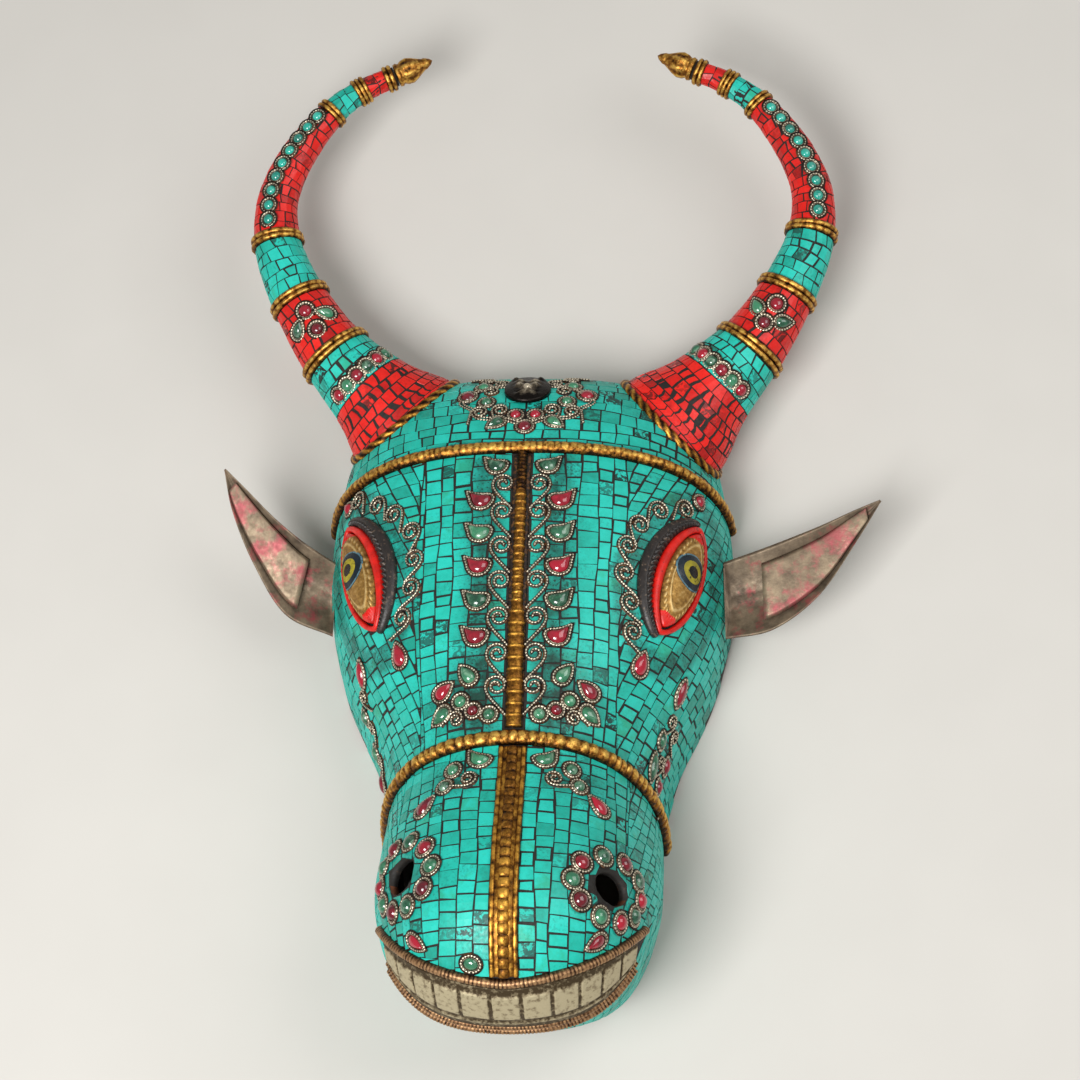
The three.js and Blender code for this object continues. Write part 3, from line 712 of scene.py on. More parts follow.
@dataclass(frozen=True)
class HammeredCopper:
    """Beaten sheet with hammer marks and brown patina, rubbed with pink paint in places."""

    name: str
    bright: str
    dark: str
    rub: str
    rubbed: float = 0.0

    def make(self) -> bpy.types.Material:
        """The material: hammer marks 6.5 mm apart, patina in patches of 9 mm."""
        mix = Recipe(self.name)
        base = mix.ramp(mix.grain(9.0, 6, 0.62), [(0.3, self.dark), (0.7, self.bright)])
        if self.rubbed > 0:
            share = mix.range(mix.grain(16.0, 6, 0.7), 0.66 - self.rubbed, 0.8 - self.rubbed)
            base = mix.blend(mix.maths("MULTIPLY", share, 0.75), base, self.rub)
        place = mix.node("TexCoord").outputs["Object"]
        marks = mix.node("TexVoronoi", {"Vector": place, "Scale": 1 / (6.5 * MM)},
                         feature="SMOOTH_F1").outputs["Distance"]
        beaten = mix.maths("MULTIPLY", marks, 0.6)
        height = mix.maths("ADD", beaten, mix.maths("MULTIPLY", mix.grain(1.4, 4), 0.3))
        return mix.done(base, mix.range(mix.grain(3.0, 4), 0.3, 0.7, 0.42, 0.68), height, 0.35, Metallic=0.55)


class Finish(Enum):
    """Every finish on the mask."""

    # Turquoise sawn and rubbed flat: an even blue-green, some chips darker or veined with black.
    TURQUOISE = ChippedStone("turquoise_chips_sawn", ("0C9280", "12AA98", "18B8A6", "20C4B4", "22A88A"),
                             "10302A", "0A3B30", 0.48, 0.84)
    # Dyed coral sawn the same way: scarlet to dark red, with a soft shine.
    CORAL = ChippedStone("coral_chips_sawn", ("A00C08", "C4120A", "D8160C", "E01E12", "B40E08"),
                         "3A0906", "4A120C", 0.4, 0.85)
    # Fire gilding rubbed by hands: warm yellow on every crown, partly rubbing and partly a painted highlight,
    # brown in every hollow.
    GILT = WornHighlitMetal("fire_gilt_brass", "E4B65A", "9C6626", "2E1B0C", 0.88, 0.4, 0.36)
    # Thinner gilding on brass: duller yellow with more brown between the ribs.
    RIDGE = WornHighlitMetal("gilt_brass_dull", "DDA544", "8C5C20", "2A180C", 0.85, 0.38, 0.24)
    # Oxidised silver wire: pale tops on the beads, rubbed and with a painted highlight, almost black necks.
    SILVER = WornHighlitMetal("oxidised_silver_wire", "DCD0B8", "6E6454", "1A1512", 0.8, 0.32, 0.22)
    # Copper cords rubbed bare: pinkish brown crowns with a painted highlight on their tops, on dark ribs.
    BRONZE = WornHighlitMetal("rubbed_copper_lip", "B08A62", "6A4A32", "24170D", 0.8, 0.42)
    # Gilt brass, brushed thin: pale gold with brown rings.
    BALL = WornHighlitMetal("gilt_brass_eyeball", "E2C284", "B48A48", "4A3014", 0.75, 0.42, 0.2)
    # Copper tinned and wiped: dull yellowish grey, brown at the edges.
    TEETH = WornHighlitMetal("tinned_copper_teeth", "B8AC8C", "8C7E62", "43351F", 0.5, 0.5, 0.5)
    # Polished glass: clear deep red with one sharp highlight.
    RUBY = Cabochon("ruby_glass", "4E0212", "A00A26", "C03A54", 0.16)
    # Polished agate: grey-green with milky clouds.
    JADE = Cabochon("green_agate", "123F2C", "3A8560", "9DC0A4", 0.5)
    # Polished turquoise: pale, opaque blue-green.
    TURQUOISE_BEAD = Cabochon("turquoise_cabochon", "0A6A5C", "25B09C", "7FCBBB", 0.25)
    # Mastic pressed in by hand: black, with no shine.
    MASTIC = Paint("black_mastic", "14120F", "1F1A15", "3A2A1C", 0.05, 0.7)
    # The same mastic under the wires, rubbed brown.
    RECESS = Paint("brown_mastic_bed", "170D08", "24140B", "5C3A1A", 0.16, 0.6)
    # Brushed red lacquer: scarlet with a gloss.
    RED = Paint("red_lacquer", "E01A10", "B41208", "5A1A10", 0.05, 0.36)
    # Brushed black lacquer: soft black with a sheen, brown where it is rubbed.
    BLACK = Paint("black_lacquer", "1D1A19", "2C2624", "5A4C40", 0.1, 0.42)
    # Thin oil paint round the iris: greyish blue line.
    LINE = Paint("blue_grey_line_paint", "5E8490", "3C5A66", "1C2A30", 0.12, 0.4)
    # Oil paint of the iris: muddy yellow ring.
    OLIVE = Paint("olive_yellow_paint", "A89A20", "7C741C", "3A3514", 0.1, 0.4)
    # Oil paint of the iris: almost black blue.
    NAVY = Paint("dark_blue_paint", "06141E", "0A1E2A", "060C10", 0.05, 0.35)
    # Varnished black: a wet dark dot.
    PUPIL = Paint("black_gloss_paint", "080808", "101010", "0A0A0A", 0.0, 0.25)
    # Beaten copper, never cleaned inside: dark brown with hammer marks.
    COPPER = HammeredCopper("hammered_copper_inside", "7A4A30", "3A2418", "8C2A2A")
    # Beaten copper with old paint: greyish brown with pink smears.
    EAR = HammeredCopper("hammered_copper_ear", "8E7C66", "4A3E32", "A8404A", 0.12)
    # The same in a paler plate, with more pink left.
    LINING = HammeredCopper("hammered_copper_lining", "A08D74", "5C4E40", "B0505A", 0.2)

    def material(self) -> bpy.types.Material:
        """The material of this finish, made once."""
        return bpy.data.materials.get(self.value.name) or self.value.make()


# Mosaic


@dataclass
class Chips:
    """Flat field of stone chips: x and y in millimetres along the courses and down them."""

    seed: int
    grout: float = 0.62
    rise: float = 0.3
    sunk: float = 0.3
    chamfer: float = 0.1
    ragged: float = 0.24
    # Shares of the chips with a narrow, a plain and a wide joint round them, and those joints in grouts.
    joint_shares: tuple[float, ...] = (0.42, 0.4, 0.18)
    joint_widths: tuple[float, ...] = (0.8, 1.3, 2.5)

    def __post_init__(self) -> None:
        """Starts an empty field."""
        self.work = Work()
        self.chance = np.random.default_rng(self.seed)

    def course(self, low: Array, low_y: Array, high: Array, high_y: Array) -> None:
        """Adds one course of chips between two lines of corners."""
        count = len(low) - 1
        strip = bmesh.new()
        bmesh.ops.create_grid(strip, x_segments=count, y_segments=1, size=0.5)
        for vert in strip.verts:
            i = int(round((vert.co.x + 0.5) * count))
            top = vert.co.y > 0
            vert.co = (high[i], high_y[i], 0) if top else (low[i], low_y[i], 0)
        self.work.add(strip, smooth=False, close=False)

    def keep(self, wanted: Place, smallest: float = 6.0) -> None:
        """Takes out slivers, and the chips whose middle isn't wanted."""
        mesh = self.work.mesh
        bmesh.ops.dissolve_degenerate(mesh, edges=mesh.edges, dist=0.5)
        middles = np.array([face.calc_center_median() for face in mesh.faces])
        wanted_here = wanted(middles[:, 0], middles[:, 1])
        out = [face for face, stays in zip(mesh.faces, wanted_here)
               if not stays or face.calc_area() < smallest]
        bmesh.ops.delete(mesh, geom=out, context="FACES")

    def cut(self) -> None:
        """Parts the chips by uneven grout, sets each a little high or low and breaks their edges."""
        mesh = self.work.mesh
        tone = mesh.faces.layers.float.new("tone")
        matrix = mesh.faces.layers.float.new("matrix")
        bmesh.ops.split_edges(mesh, edges=mesh.edges)
        groups = [[] for _ in self.joint_widths]
        for face in mesh.faces:
            face[tone] = float(np.clip(self.chance.normal(0.5, 0.2), 0, 1))
            face[matrix] = float(self.chance.random())
            high = self.chance.uniform(-0.1, 0.08)
            for vert in face.verts:
                slip = self.chance.uniform(-self.ragged, self.ragged, 2)
                vert.co += Vector((slip[0], slip[1], high + self.chance.uniform(-0.05, 0.05) - self.sunk))
            groups[int(self.chance.choice(3, p=self.joint_shares))].append(face)
        joints = []
        for width, group in zip(self.joint_widths, groups):
            joint = bmesh.ops.inset_individual(mesh, faces=group, thickness=self.grout / 2 * width,
                                               use_even_offset=True)
            joints.extend(joint["faces"])
        bmesh.ops.delete(mesh, geom=joints, context="FACES")
        bmesh.ops.inset_individual(mesh, faces=mesh.faces, thickness=self.chamfer,
                                   depth=self.rise + self.sunk, use_even_offset=True)

    def lay(self, place: Callable[[Array, Array, Array], Array], flip: bool,
            grime_and_shade: Place | None = None) -> None:
        """Wraps the field on its surface, so that the chips are rubbed round with it.

        Args:
            place: gives points in millimetres for x, y and height.
            flip: whether the surface's outside is the field's underside.
            grime_and_shade: how dark the chips are painted at x and y, for grime and for painted shade.
        """
        mesh = self.work.mesh
        bmesh.ops.subdivide_edges(mesh, edges=mesh.edges, cuts=1, use_grid_fill=True)
        flat = np.array([vert.co for vert in mesh.verts])
        points = to_row(place(flat[:, 0], flat[:, 1], flat[:, 2]))
        if grime_and_shade is not None:
            layer = mesh.verts.layers.float.new("grime_and_shade")
            grime_shade = grime_and_shade(flat[:, 0], flat[:, 1])
            for vert, amount in zip(mesh.verts, grime_shade):
                vert[layer] = float(amount)
        for vert, point in zip(mesh.verts, points):
            vert.co = point
        if flip:
            bmesh.ops.reverse_faces(mesh, faces=mesh.faces)


BROW_ALONG = 110.0
MUZZLE_ALONG = 270.0
# Half-widths of the lips and of the mouth, and how far beyond its corners they run together.
LIP_HALF = 86.0
MOUTH_HALF = 84.0
CORNER = 8.0
# Grime and painted shade on the chips by the mounts: its strength, its middle and reach across, its middle
# and reach along.
GRIME_AND_SHADE_SPOTS = ((0.85, 27, 16, 247, 14), (0.75, 28, 16, 292, 10), (0.55, 55, 24, 348, 20))


def brow_line(across: Array) -> Array:
    """Distance along of the brow band's middle."""
    return BROW_ALONG + 6 * (across / 130) ** 2


def muzzle_line(across: Array) -> Array:
    """Distance along of the muzzle band's middle."""
    return MUZZLE_ALONG + 10 * (np.abs(across) / 110) ** 1.2


def upper_line(across: Array) -> Array:
    """Distance along of the upper lip."""
    return 403 - 38 * (np.abs(across) / LIP_HALF) ** 1.6


def lower_line(across: Array) -> Array:
    """Distance along of the lower lip's upper edge."""
    return 434 - 59 * (np.abs(across) / LIP_HALF) ** 1.9


def past_corner(lip: Array, across: Array) -> Array:
    """A lip's line, drawn to the line between both lips beyond the corners of the mouth."""
    beyond = np.clip((np.abs(across) - MOUTH_HALF) / CORNER, 0, 1)
    return lip * (1 - beyond) + beyond * (upper_line(across) + lower_line(across)) / 2


@dataclass
class Eye:
    """Almond of one eye, its middle measured on the head."""

    side: int
    length: float = 60.0
    width: float = 21.0
    turn: float = -0.35
    # How far the corners are drawn out, and how full a shape that test takes for it.
    pinch: float = 0.35
    full: float = 1.7

    def __post_init__(self) -> None:
        """The two eyes were laid out by hand and differ."""
        self.along, self.across = (173.3, 84.0) if self.side > 0 else (169.0, 88.0)

    def almond(self, angle: Array, grow: Array = 0.0, size: Array = 1.0) -> tuple[Array, Array]:
        """Places on the almond, grown by so many millimetres."""
        pinch = np.abs(np.sin(angle)) ** self.pinch
        x = (self.length / 2 + grow) * size * np.cos(angle)
        y = (self.width / 2 + grow) * size * np.sin(angle) * pinch
        return (self.along + x * math.cos(self.turn) - y * math.sin(self.turn),
                self.side * (self.across + x * math.sin(self.turn) + y * math.cos(self.turn)))

    def inside(self, along: Array, across: Array, grow: float) -> Array:
        """Whether places lie inside the grown almond, on this side of the face."""
        x, y = along - self.along, across * self.side - self.across
        u = x * math.cos(self.turn) + y * math.sin(self.turn)
        v = -x * math.sin(self.turn) + y * math.cos(self.turn)
        return (np.abs(u) / (self.length / 2 + grow)) ** self.full + (v / (self.width / 2 + grow)) ** 2 < 1

    def size(self, along: Array, across: Array) -> Array:
        """Share of the almond's size at which places lie, from 0 in its middle to 1 on its edge."""
        x, y = along - self.along, across * self.side - self.across
        u = np.abs(x * math.cos(self.turn) + y * math.sin(self.turn)) / (self.length / 2)
        v = np.abs(-x * math.sin(self.turn) + y * math.cos(self.turn)) / (self.width / 2)
        low, high = np.zeros_like(u), np.full_like(u, 3.0)
        for _ in range(24):
            middle = (low + high) / 2
            over = (u / middle) ** 2 + (v / middle) ** (2 / (1 + self.pinch)) > 1
            low, high = np.where(over, middle, low), np.where(over, high, middle)
        return (low + high) / 2


@dataclass
class Nostril:
    """One nostril: its middle and the half-sizes, along and across, of its hole and its ring of stones."""

    side: int

    def __post_init__(self) -> None:
        """The two nostrils differ too."""
        self.along, self.across = (352.0, 54.0) if self.side > 0 else (344.0, 57.0)
        self.hole = (8.0, 10.5) if self.side > 0 else (9.0, 10.0)
        self.ring = (16.5, 22.5) if self.side > 0 else (19.0, 21.0)

    def inside(self, along: Array, across: Array, grow: float) -> Array:
        """Whether places lie inside the grown hole."""
        x, y = along - self.along, across * self.side - self.across
        return (x / (self.hole[0] + grow)) ** 2 + (y / (self.hole[1] + grow)) ** 2 < 1


@dataclass
class FaceMosaic:
    """Turquoise chips over the face, in courses that follow the bands."""

    chip: float = 8.2
    course: float = 7.0
    # Half-width of the bare strip under the forehead ridge and under the nose strip.
    ridge: float = 5.2
    nose: float = 6.4
    # Seams between straight and leaning columns above and below the muzzle band, and their lean there.
    brow_seam: float = 52.0
    muzzle_seam: float = 64.0
    brow_lean: float = 0.5
    muzzle_lean: float = 0.4

    def columns(self, chips: Chips, top: Line, bottom: Line,
                inner: float, outer: float, lean: float) -> None:
        """Lays wavering columns of chips, cut to fit between two bands and two seams.

        Args:
            chips: the field.
            top: distance along of the upper line, by distance across.
            bottom: distance along of the lower line.
            inner: distance across of the seam nearer the ridge.
            outer: distance across of the other seam.
            lean: how fast the columns draw in toward the ridge on their way down.
        """
        chance = chips.chance
        ends = np.array([inner, outer])
        start, stop = float(top(ends).min()), float(bottom(ends).max())
        middle = (start + stop) / 2
        reach = abs(lean) * (stop - start) / 2
        for side in (-1, 1):
            bases = np.cumsum(np.concatenate([[inner - reach], chance.uniform(0.86, 1.16, 60) * self.chip]))
            bases = bases[bases < outer + reach + self.chip]
            phases = chance.uniform(0, PHASE, (len(bases), 2))
            sway = 0.0 if inner < 12 else 1.0

            def edge(k: int, y: Array) -> Array:
                """Distance across of one joint between columns."""
                wave = np.sin(y / 17 + phases[k, 0]) * 0.8 + np.sin(y / 7.1 + phases[k, 1]) * 0.3
                drift = 1.4 * np.sin(y / 21 + side) + 0.5 * np.sin(y / 5)
                x = bases[k] + wave * min(1.0, k + sway) - lean * (y - middle)
                return np.clip(x, inner + sway * drift, outer + drift)
            for k in range(len(bases) - 1):
                steps = chance.uniform(0.82, 1.3, 60) * self.course
                joints = np.cumsum(steps) + start - chance.uniform(4, 14)
                joints = joints[joints < stop + 10]
                near_y = joints + chance.uniform(-0.5, 0.5, len(joints))
                far_y = joints + chance.uniform(-0.5, 0.5, len(joints))
                near, far = edge(k, near_y), edge(k + 1, far_y)
                near_y = np.clip(near_y, top(near), bottom(near))
                far_y = np.clip(far_y, top(far), bottom(far))
                if side > 0:
                    chips.course(far, far_y, near, near_y)
                else:
                    chips.course(-near, near_y, -far, far_y)

    def region(self, chips: Chips, top: Line, bottom: Line,
               middle: float) -> None:
        """Lays courses that follow the bands between two lines.

        Args:
            chips: the field.
            top: distance along of the upper line, by distance across.
            bottom: distance along of the lower line.
            middle: half-width of the bare strip down the ridge.
        """
        zero = np.zeros(1)
        count = max(int(round(float((bottom(zero) - top(zero))[0]) / self.course)), 1)
        chance = chips.chance
        phases = chance.uniform(0, PHASE, count + 1)
        heights = np.concatenate([[0], np.cumsum(chance.uniform(0.85, 1.15, count))])
        heights = heights / heights[-1]
        for j in range(count):
            base = np.cumsum(np.concatenate([[middle], chance.uniform(0.8, 1.35, 28) * self.chip]))
            for side in (-1, 1):
                low, high = (side * (base + chance.uniform(-0.5, 0.5, len(base)) * (base > middle))
                             for _ in range(2))
                low_y, high_y = (self.line(top, bottom, heights[j + k], phases[j + k], cuts, chance, 0.25)
                                 for k, cuts in ((0, low), (1, high)))
                if side < 0:
                    low, low_y, high, high_y = low[::-1], low_y[::-1], high[::-1], high_y[::-1]
                chips.course(low, low_y, high, high_y)

    @staticmethod
    def line(top: Line, bottom: Line, share: float, phase: float,
             across: Array, chance: np.random.Generator, jitter: float) -> Array:
        """Distances along of one joint between courses."""
        wave = np.sin(across / 19 + phase) * 0.9 + np.sin(across / 7.3 + 2 * phase) * 0.35
        ends = 4 * share * (1 - share)
        return (top(across) + (bottom(across) - top(across)) * share + wave * min(1.0, ends * 3)
                + chance.uniform(-jitter, jitter, len(across)))

    def wanted(self, across: Array, along: Array) -> Array:
        """Where chips are laid."""
        rim = np.interp(along, np.linspace(0, HEAD.length, HEAD.rows), HEAD.reach)
        keep = np.abs(across) < rim - 1.5
        for side in (-1, 1):
            opening = Eye(side).inside(along, across, 2.0) | Nostril(side).inside(along, across, 1.0)
            keep &= ~((across * side > 0) & opening)
        between = (along > upper_line(across) + 1) & (along < lower_line(across) + 3)
        return keep & ~(between & (np.abs(across) < MOUTH_HALF))

    @staticmethod
    def trim(mesh: Mesh) -> None:
        """Moves the corners that reach over an eye or a nostril out to its edge."""
        reach_along, reach_across = 40, 30
        pushes, push = 30, 1.04
        for side in (-1, 1):
            for opening, grow in ((Eye(side), 2.4), (Nostril(side), 1.0)):
                for vert in mesh.verts:
                    spot = np.array([vert.co.y, vert.co.x])
                    middle = np.array([opening.along, side * opening.across])
                    away = np.abs(spot - middle)
                    if away[0] > reach_along or away[1] > reach_across:
                        continue
                    for _ in range(pushes):
                        if not opening.inside(spot[0], spot[1], grow):
                            break
                        spot = middle + (spot - middle) * push
                    vert.co.y, vert.co.x = float(spot[0]), float(spot[1])

    @staticmethod
    def grime_and_shade(across: Array, along: Array) -> Array:
        """Darkening of the chips: grime and painted shade between the wire mounts and round the eyes and the
        nostrils, and a painted shadow under the chin.
        """
        away = np.abs(across)
        grime_shade = 0.9 * hump(away, 17, 9) * ((along > 114) & (along < 266))
        for strength, middle, wide, height, high in GRIME_AND_SHADE_SPOTS:
            grime_shade = grime_shade + strength * hump(away, middle, wide) * hump(along, height, high)
        for side in (-1, 1):
            eye = Eye(side)
            ring = eye.inside(along, across, 25) & ~eye.inside(along, across, 12)
            grime_shade = grime_shade + 0.6 * ((across * side > 0) & ring)
        # Past 440 mm along, the chin's underside is painted darker as a shadow.
        return np.clip(grime_shade + 0.6 * np.clip((along - 440) / 30, 0, 1), 0, 1)

    def make(self) -> None:
        """Builds the piece."""
        chips = Chips(seed=11)

        def crown_top(across: Array) -> Array:
            """The crown's courses rise from the poll."""
            return np.full_like(across, 4.0)

        def mouth_top(across: Array) -> Array:
            """The upper lip."""
            return past_corner(upper_line(across), across)

        def mouth_bottom(across: Array) -> Array:
            """The lower edge of the lower lip."""
            return past_corner(lower_line(across) + 6, across)

        def chin_end(across: Array) -> Array:
            """The chin's courses end at its tip."""
            return np.full_like(across, HEAD.length - 3)

        self.region(chips, crown_top, brow_line, 0.0)
        self.columns(chips, brow_line, muzzle_line, self.ridge, self.brow_seam, 0.0)
        self.columns(chips, brow_line, muzzle_line, self.brow_seam, 170.0, self.brow_lean)
        self.columns(chips, muzzle_line, mouth_top, self.nose, self.muzzle_seam, 0.0)
        self.columns(chips, muzzle_line, mouth_top, self.muzzle_seam, 160.0, self.muzzle_lean)
        self.region(chips, mouth_bottom, chin_end, 0.0)
        chips.keep(self.wanted)
        self.trim(chips.work.mesh)
        chips.cut()
        chips.lay(lambda x, y, z: HEAD.seat(y, x, z), flip=True, grime_and_shade=self.grime_and_shade)
        chips.work.finish("face_mosaic", [Finish.TURQUOISE], "turquoise", ["head_shell"])


# Head


@dataclass
class HeadShell:
    """Hammered copper shell, black with mastic outside, bare inside."""

    wall: float = 4.0
    rows: int = 170
    columns: int = 120
    # Nothing farther than this from a nostril's middle belongs to its edge.
    reach: float = 30.0

    def skin(self) -> Mesh:
        """The outside, open at the back."""
        def place(u: Array, v: Array) -> Array:
            """Points over the head."""
            along = v * HEAD.length
            rim = np.interp(along, np.linspace(0, HEAD.length, HEAD.rows), HEAD.reach)
            return HEAD.seat(along, (2 * u - 1) * rim)
        return sheet(self.rows, self.columns, place, 2e-5)

    def make(self) -> BVHTree:
        """Builds the piece.

        Returns:
            The outside, to find where other pieces leave it.
        """
        mesh = self.skin()
        outside = BVHTree.FromBMesh(mesh)
        for side in (-1, 1):
            nostril = Nostril(side)
            seat = Seat.on_head(nostril.along, side * nostril.across)
            origin = Vector(to_row(seat.origin))
            down, out, up = Vector(seat.down), Vector(seat.out), Vector(seat.up)

            def ring(point: Vector) -> tuple[float, float, float]:
                """Place of a point across the hole, and its distance from the middle in hole radii."""
                away = (point - origin) / MM
                x, y = away.dot(down) / nostril.hole[0], away.dot(out) / nostril.hole[1]
                return x, y, math.hypot(x, y) if away.length <= self.reach else math.inf
            near = [face for face in mesh.faces if ring(face.calc_center_median())[2] < 1.02]
            bmesh.ops.delete(mesh, geom=near, context="FACES")
            edge = {vert for e in mesh.edges if e.is_boundary for vert in e.verts if ring(vert.co)[2] < 2}
            for vert in edge:
                x, y, size = ring(vert.co)
                step_down, step_out = x / size * nostril.hole[0] * MM, y / size * nostril.hole[1] * MM
                vert.co = origin + down * step_down + out * step_out + up * (vert.co - origin).dot(up)
        bmesh.ops.recalc_face_normals(mesh, faces=mesh.faces)
        if sum(face.normal.z * face.calc_area() for face in mesh.faces) < 0:
            bmesh.ops.reverse_faces(mesh, faces=mesh.faces)
        bmesh.ops.solidify(mesh, geom=mesh.faces[:], thickness=self.wall * MM)
        for vert in mesh.verts:
            vert.co.z = max(vert.co.z, 0)
        middle = Vector((0, -0.06, 0))
        for face in mesh.faces:
            face.smooth = True
            inward = face.normal.dot(middle - face.calc_center_median()) > 0
            face.material_index = 1 if inward else 0
        Work(mesh).finish("head_copper", [Finish.MASTIC, Finish.COPPER], "turquoise", ["head_shell"])
        return outside


# Mounts


# Outline of a leaf stone, as shares of its half-length down the face and of its half-width outward.
LEAF = Spline((
    (0.96, 0.0), (0.8, 0.52), (0.35, 0.86), (-0.3, 1.0), (-1.0, 1.12), (-0.74, 0.5),
    (-0.62, -0.1), (-0.55, -0.7), (-0.2, -1.02), (0.4, -0.86), (0.82, -0.48), (0.96, 0.0),
))
# Dome of a stone from its top to below its edge, as shares of its outline and of its height.
DOME = np.array([(0, 1), (0.3, 0.97), (0.55, 0.86), (0.75, 0.66), (0.9, 0.4), (1, 0.1), (1, -0.2), (0, -0.2)])


class Cut(Enum):
    """Outline of a stone, seen from above."""

    ROUND = "round"
    DROP = "drop"
    LEAF = "leaf"
    MARQUISE = "marquise"

    def outline(self, angle: Array) -> tuple[Array, Array]:
        """Unit outline: down the face and outward, by angle."""
        x, y = np.cos(angle), np.sin(angle)
        if self is Cut.LEAF:
            rows = LEAF.at((angle / TURN) % 1.0001)
            return rows[..., 0], rows[..., 1]
        if self is Cut.DROP:
            y = y * np.abs(np.sin(angle / 2)) ** 0.8 * 1.12
        elif self is Cut.MARQUISE:
            y = y * np.abs(y) ** 0.45
        return x, y


@dataclass
class Seat:
    """Place of a stone: its middle and its directions, in millimetres."""

    origin: Array
    down: Array
    out: Array
    up: Array

    def at(self, x: Array, y: Array, z: Array) -> Array:
        """Points from distances in the seat's own directions."""
        x, y, z = together(x, y, z)
        return self.origin + x[..., None] * self.down + y[..., None] * self.out + z[..., None] * self.up

    def turned(self, turn: float) -> "Seat":
        """The same seat turned in its own plane."""
        down = self.down * math.cos(turn) + self.out * math.sin(turn)
        return Seat(self.origin, down, self.out * math.cos(turn) - self.down * math.sin(turn), self.up)

    @staticmethod
    def on_head(along: float, across: float, turn: float = 0.0, lift: float = 0.0) -> "Seat":
        """Seat on the head, with out away from the ridge."""
        step = 2.0
        ahead = HEAD.seat(np.array([along - step, along + step]), np.array([across, across]))
        origin = HEAD.seat(along, across, lift)
        up = HEAD.normal(along, across)
        down = ahead[1] - ahead[0]
        down = unit(down - up * (down @ up))
        out = np.cross(up, down)
        side = 1.0 if across >= 0 else -1.0
        if out[0] * side < 0:
            out = -out
        return Seat(origin, down, out, up).turned(turn)

    @staticmethod
    def on_horn(form: HornForm, run: float, angle: float, turn: float = 0.0, lift: float = -0.3) -> "Seat":
        """Seat on a horn, with down toward the root."""
        here = form.point(np.array([run, run - 1, run + 1]), np.full(3, angle), lift)
        up = form.normal(np.array(run), np.array(angle))
        down = here[2] - here[1]
        down = unit(down - up * (down @ up))
        return Seat(here[0], down, np.cross(up, down), up).turned(turn)


@dataclass
class Gem:
    """A stone in its mount: sizes of the mount's inside, in millimetres."""

    cut: Cut
    length: float
    width: float
    red: bool
    height: float = 2.6
    wire: float = 0.6
    pitch: float = 1.5
    # How far the stone stays inside the mount, and how far its dark bed reaches beyond.
    gap: float = 0.8
    bed_reach: float = 1.7

    def outline(self, angle: Array, grow: float = 0.0) -> tuple[Array, Array]:
        """Points of the mount's edge."""
        x, y = self.cut.outline(angle)
        return x * (self.length / 2 + grow), y * (self.width / 2 + grow)

    def stone(self, seat: Seat) -> Mesh:
        """The polished stone, smaller than its mount."""
        def place(u: Array, v: Array) -> Array:
            """Points of the dome."""
            size, high = on_profile(DOME, v)
            x, y = self.outline(u * TURN, -self.gap)
            return seat.at(x * size, y * size, 0.5 + high * self.height)
        return sheet(14, 22, place)

    def ring(self, seat: Seat, grow: float, lift: float) -> Rail:
        """Closed path round the mount."""
        angles = np.linspace(0, TURN, 73)
        x, y = self.outline(angles, grow)
        return Rail(seat.at(x, y, lift), np.tile(seat.up, (73, 1)))

    def bezel(self, seat: Seat) -> Mesh:
        """Beaded wire round the mount."""
        return sweep(self.ring(seat, 0.3, 0.8), beaded(self.wire, self.pitch), 0.36, 6, loop=True)

    def wall(self, seat: Seat) -> Mesh:
        """Thin plain wall that holds the stone."""
        def section(run: Array, angle: Array) -> tuple[Array, Array, Array]:
            """Flat strip on edge."""
            # Lighter along its upper edge: a painted highlight.
            return 0.22 * np.cos(angle), 0.5 + 0.95 * np.sin(angle), 0.3 + 0.3 * np.sin(angle)
        return sweep(self.ring(seat, -0.5, 0.2), section, 0.9, 6, loop=True)

    def bed(self, seat: Seat) -> Mesh:
        """Dark bed below the stone."""
        def place(u: Array, v: Array) -> Array:
            """Low mound."""
            x, y = self.outline(u * TURN, self.bed_reach)
            size = np.where(v < 0.5, v * 2, (1 - v) * 2)
            return seat.at(x * size, y * size, np.where(v <= 0.5, 0.85 - 0.15 * size, -0.8))
        return sheet(4, 20, place)


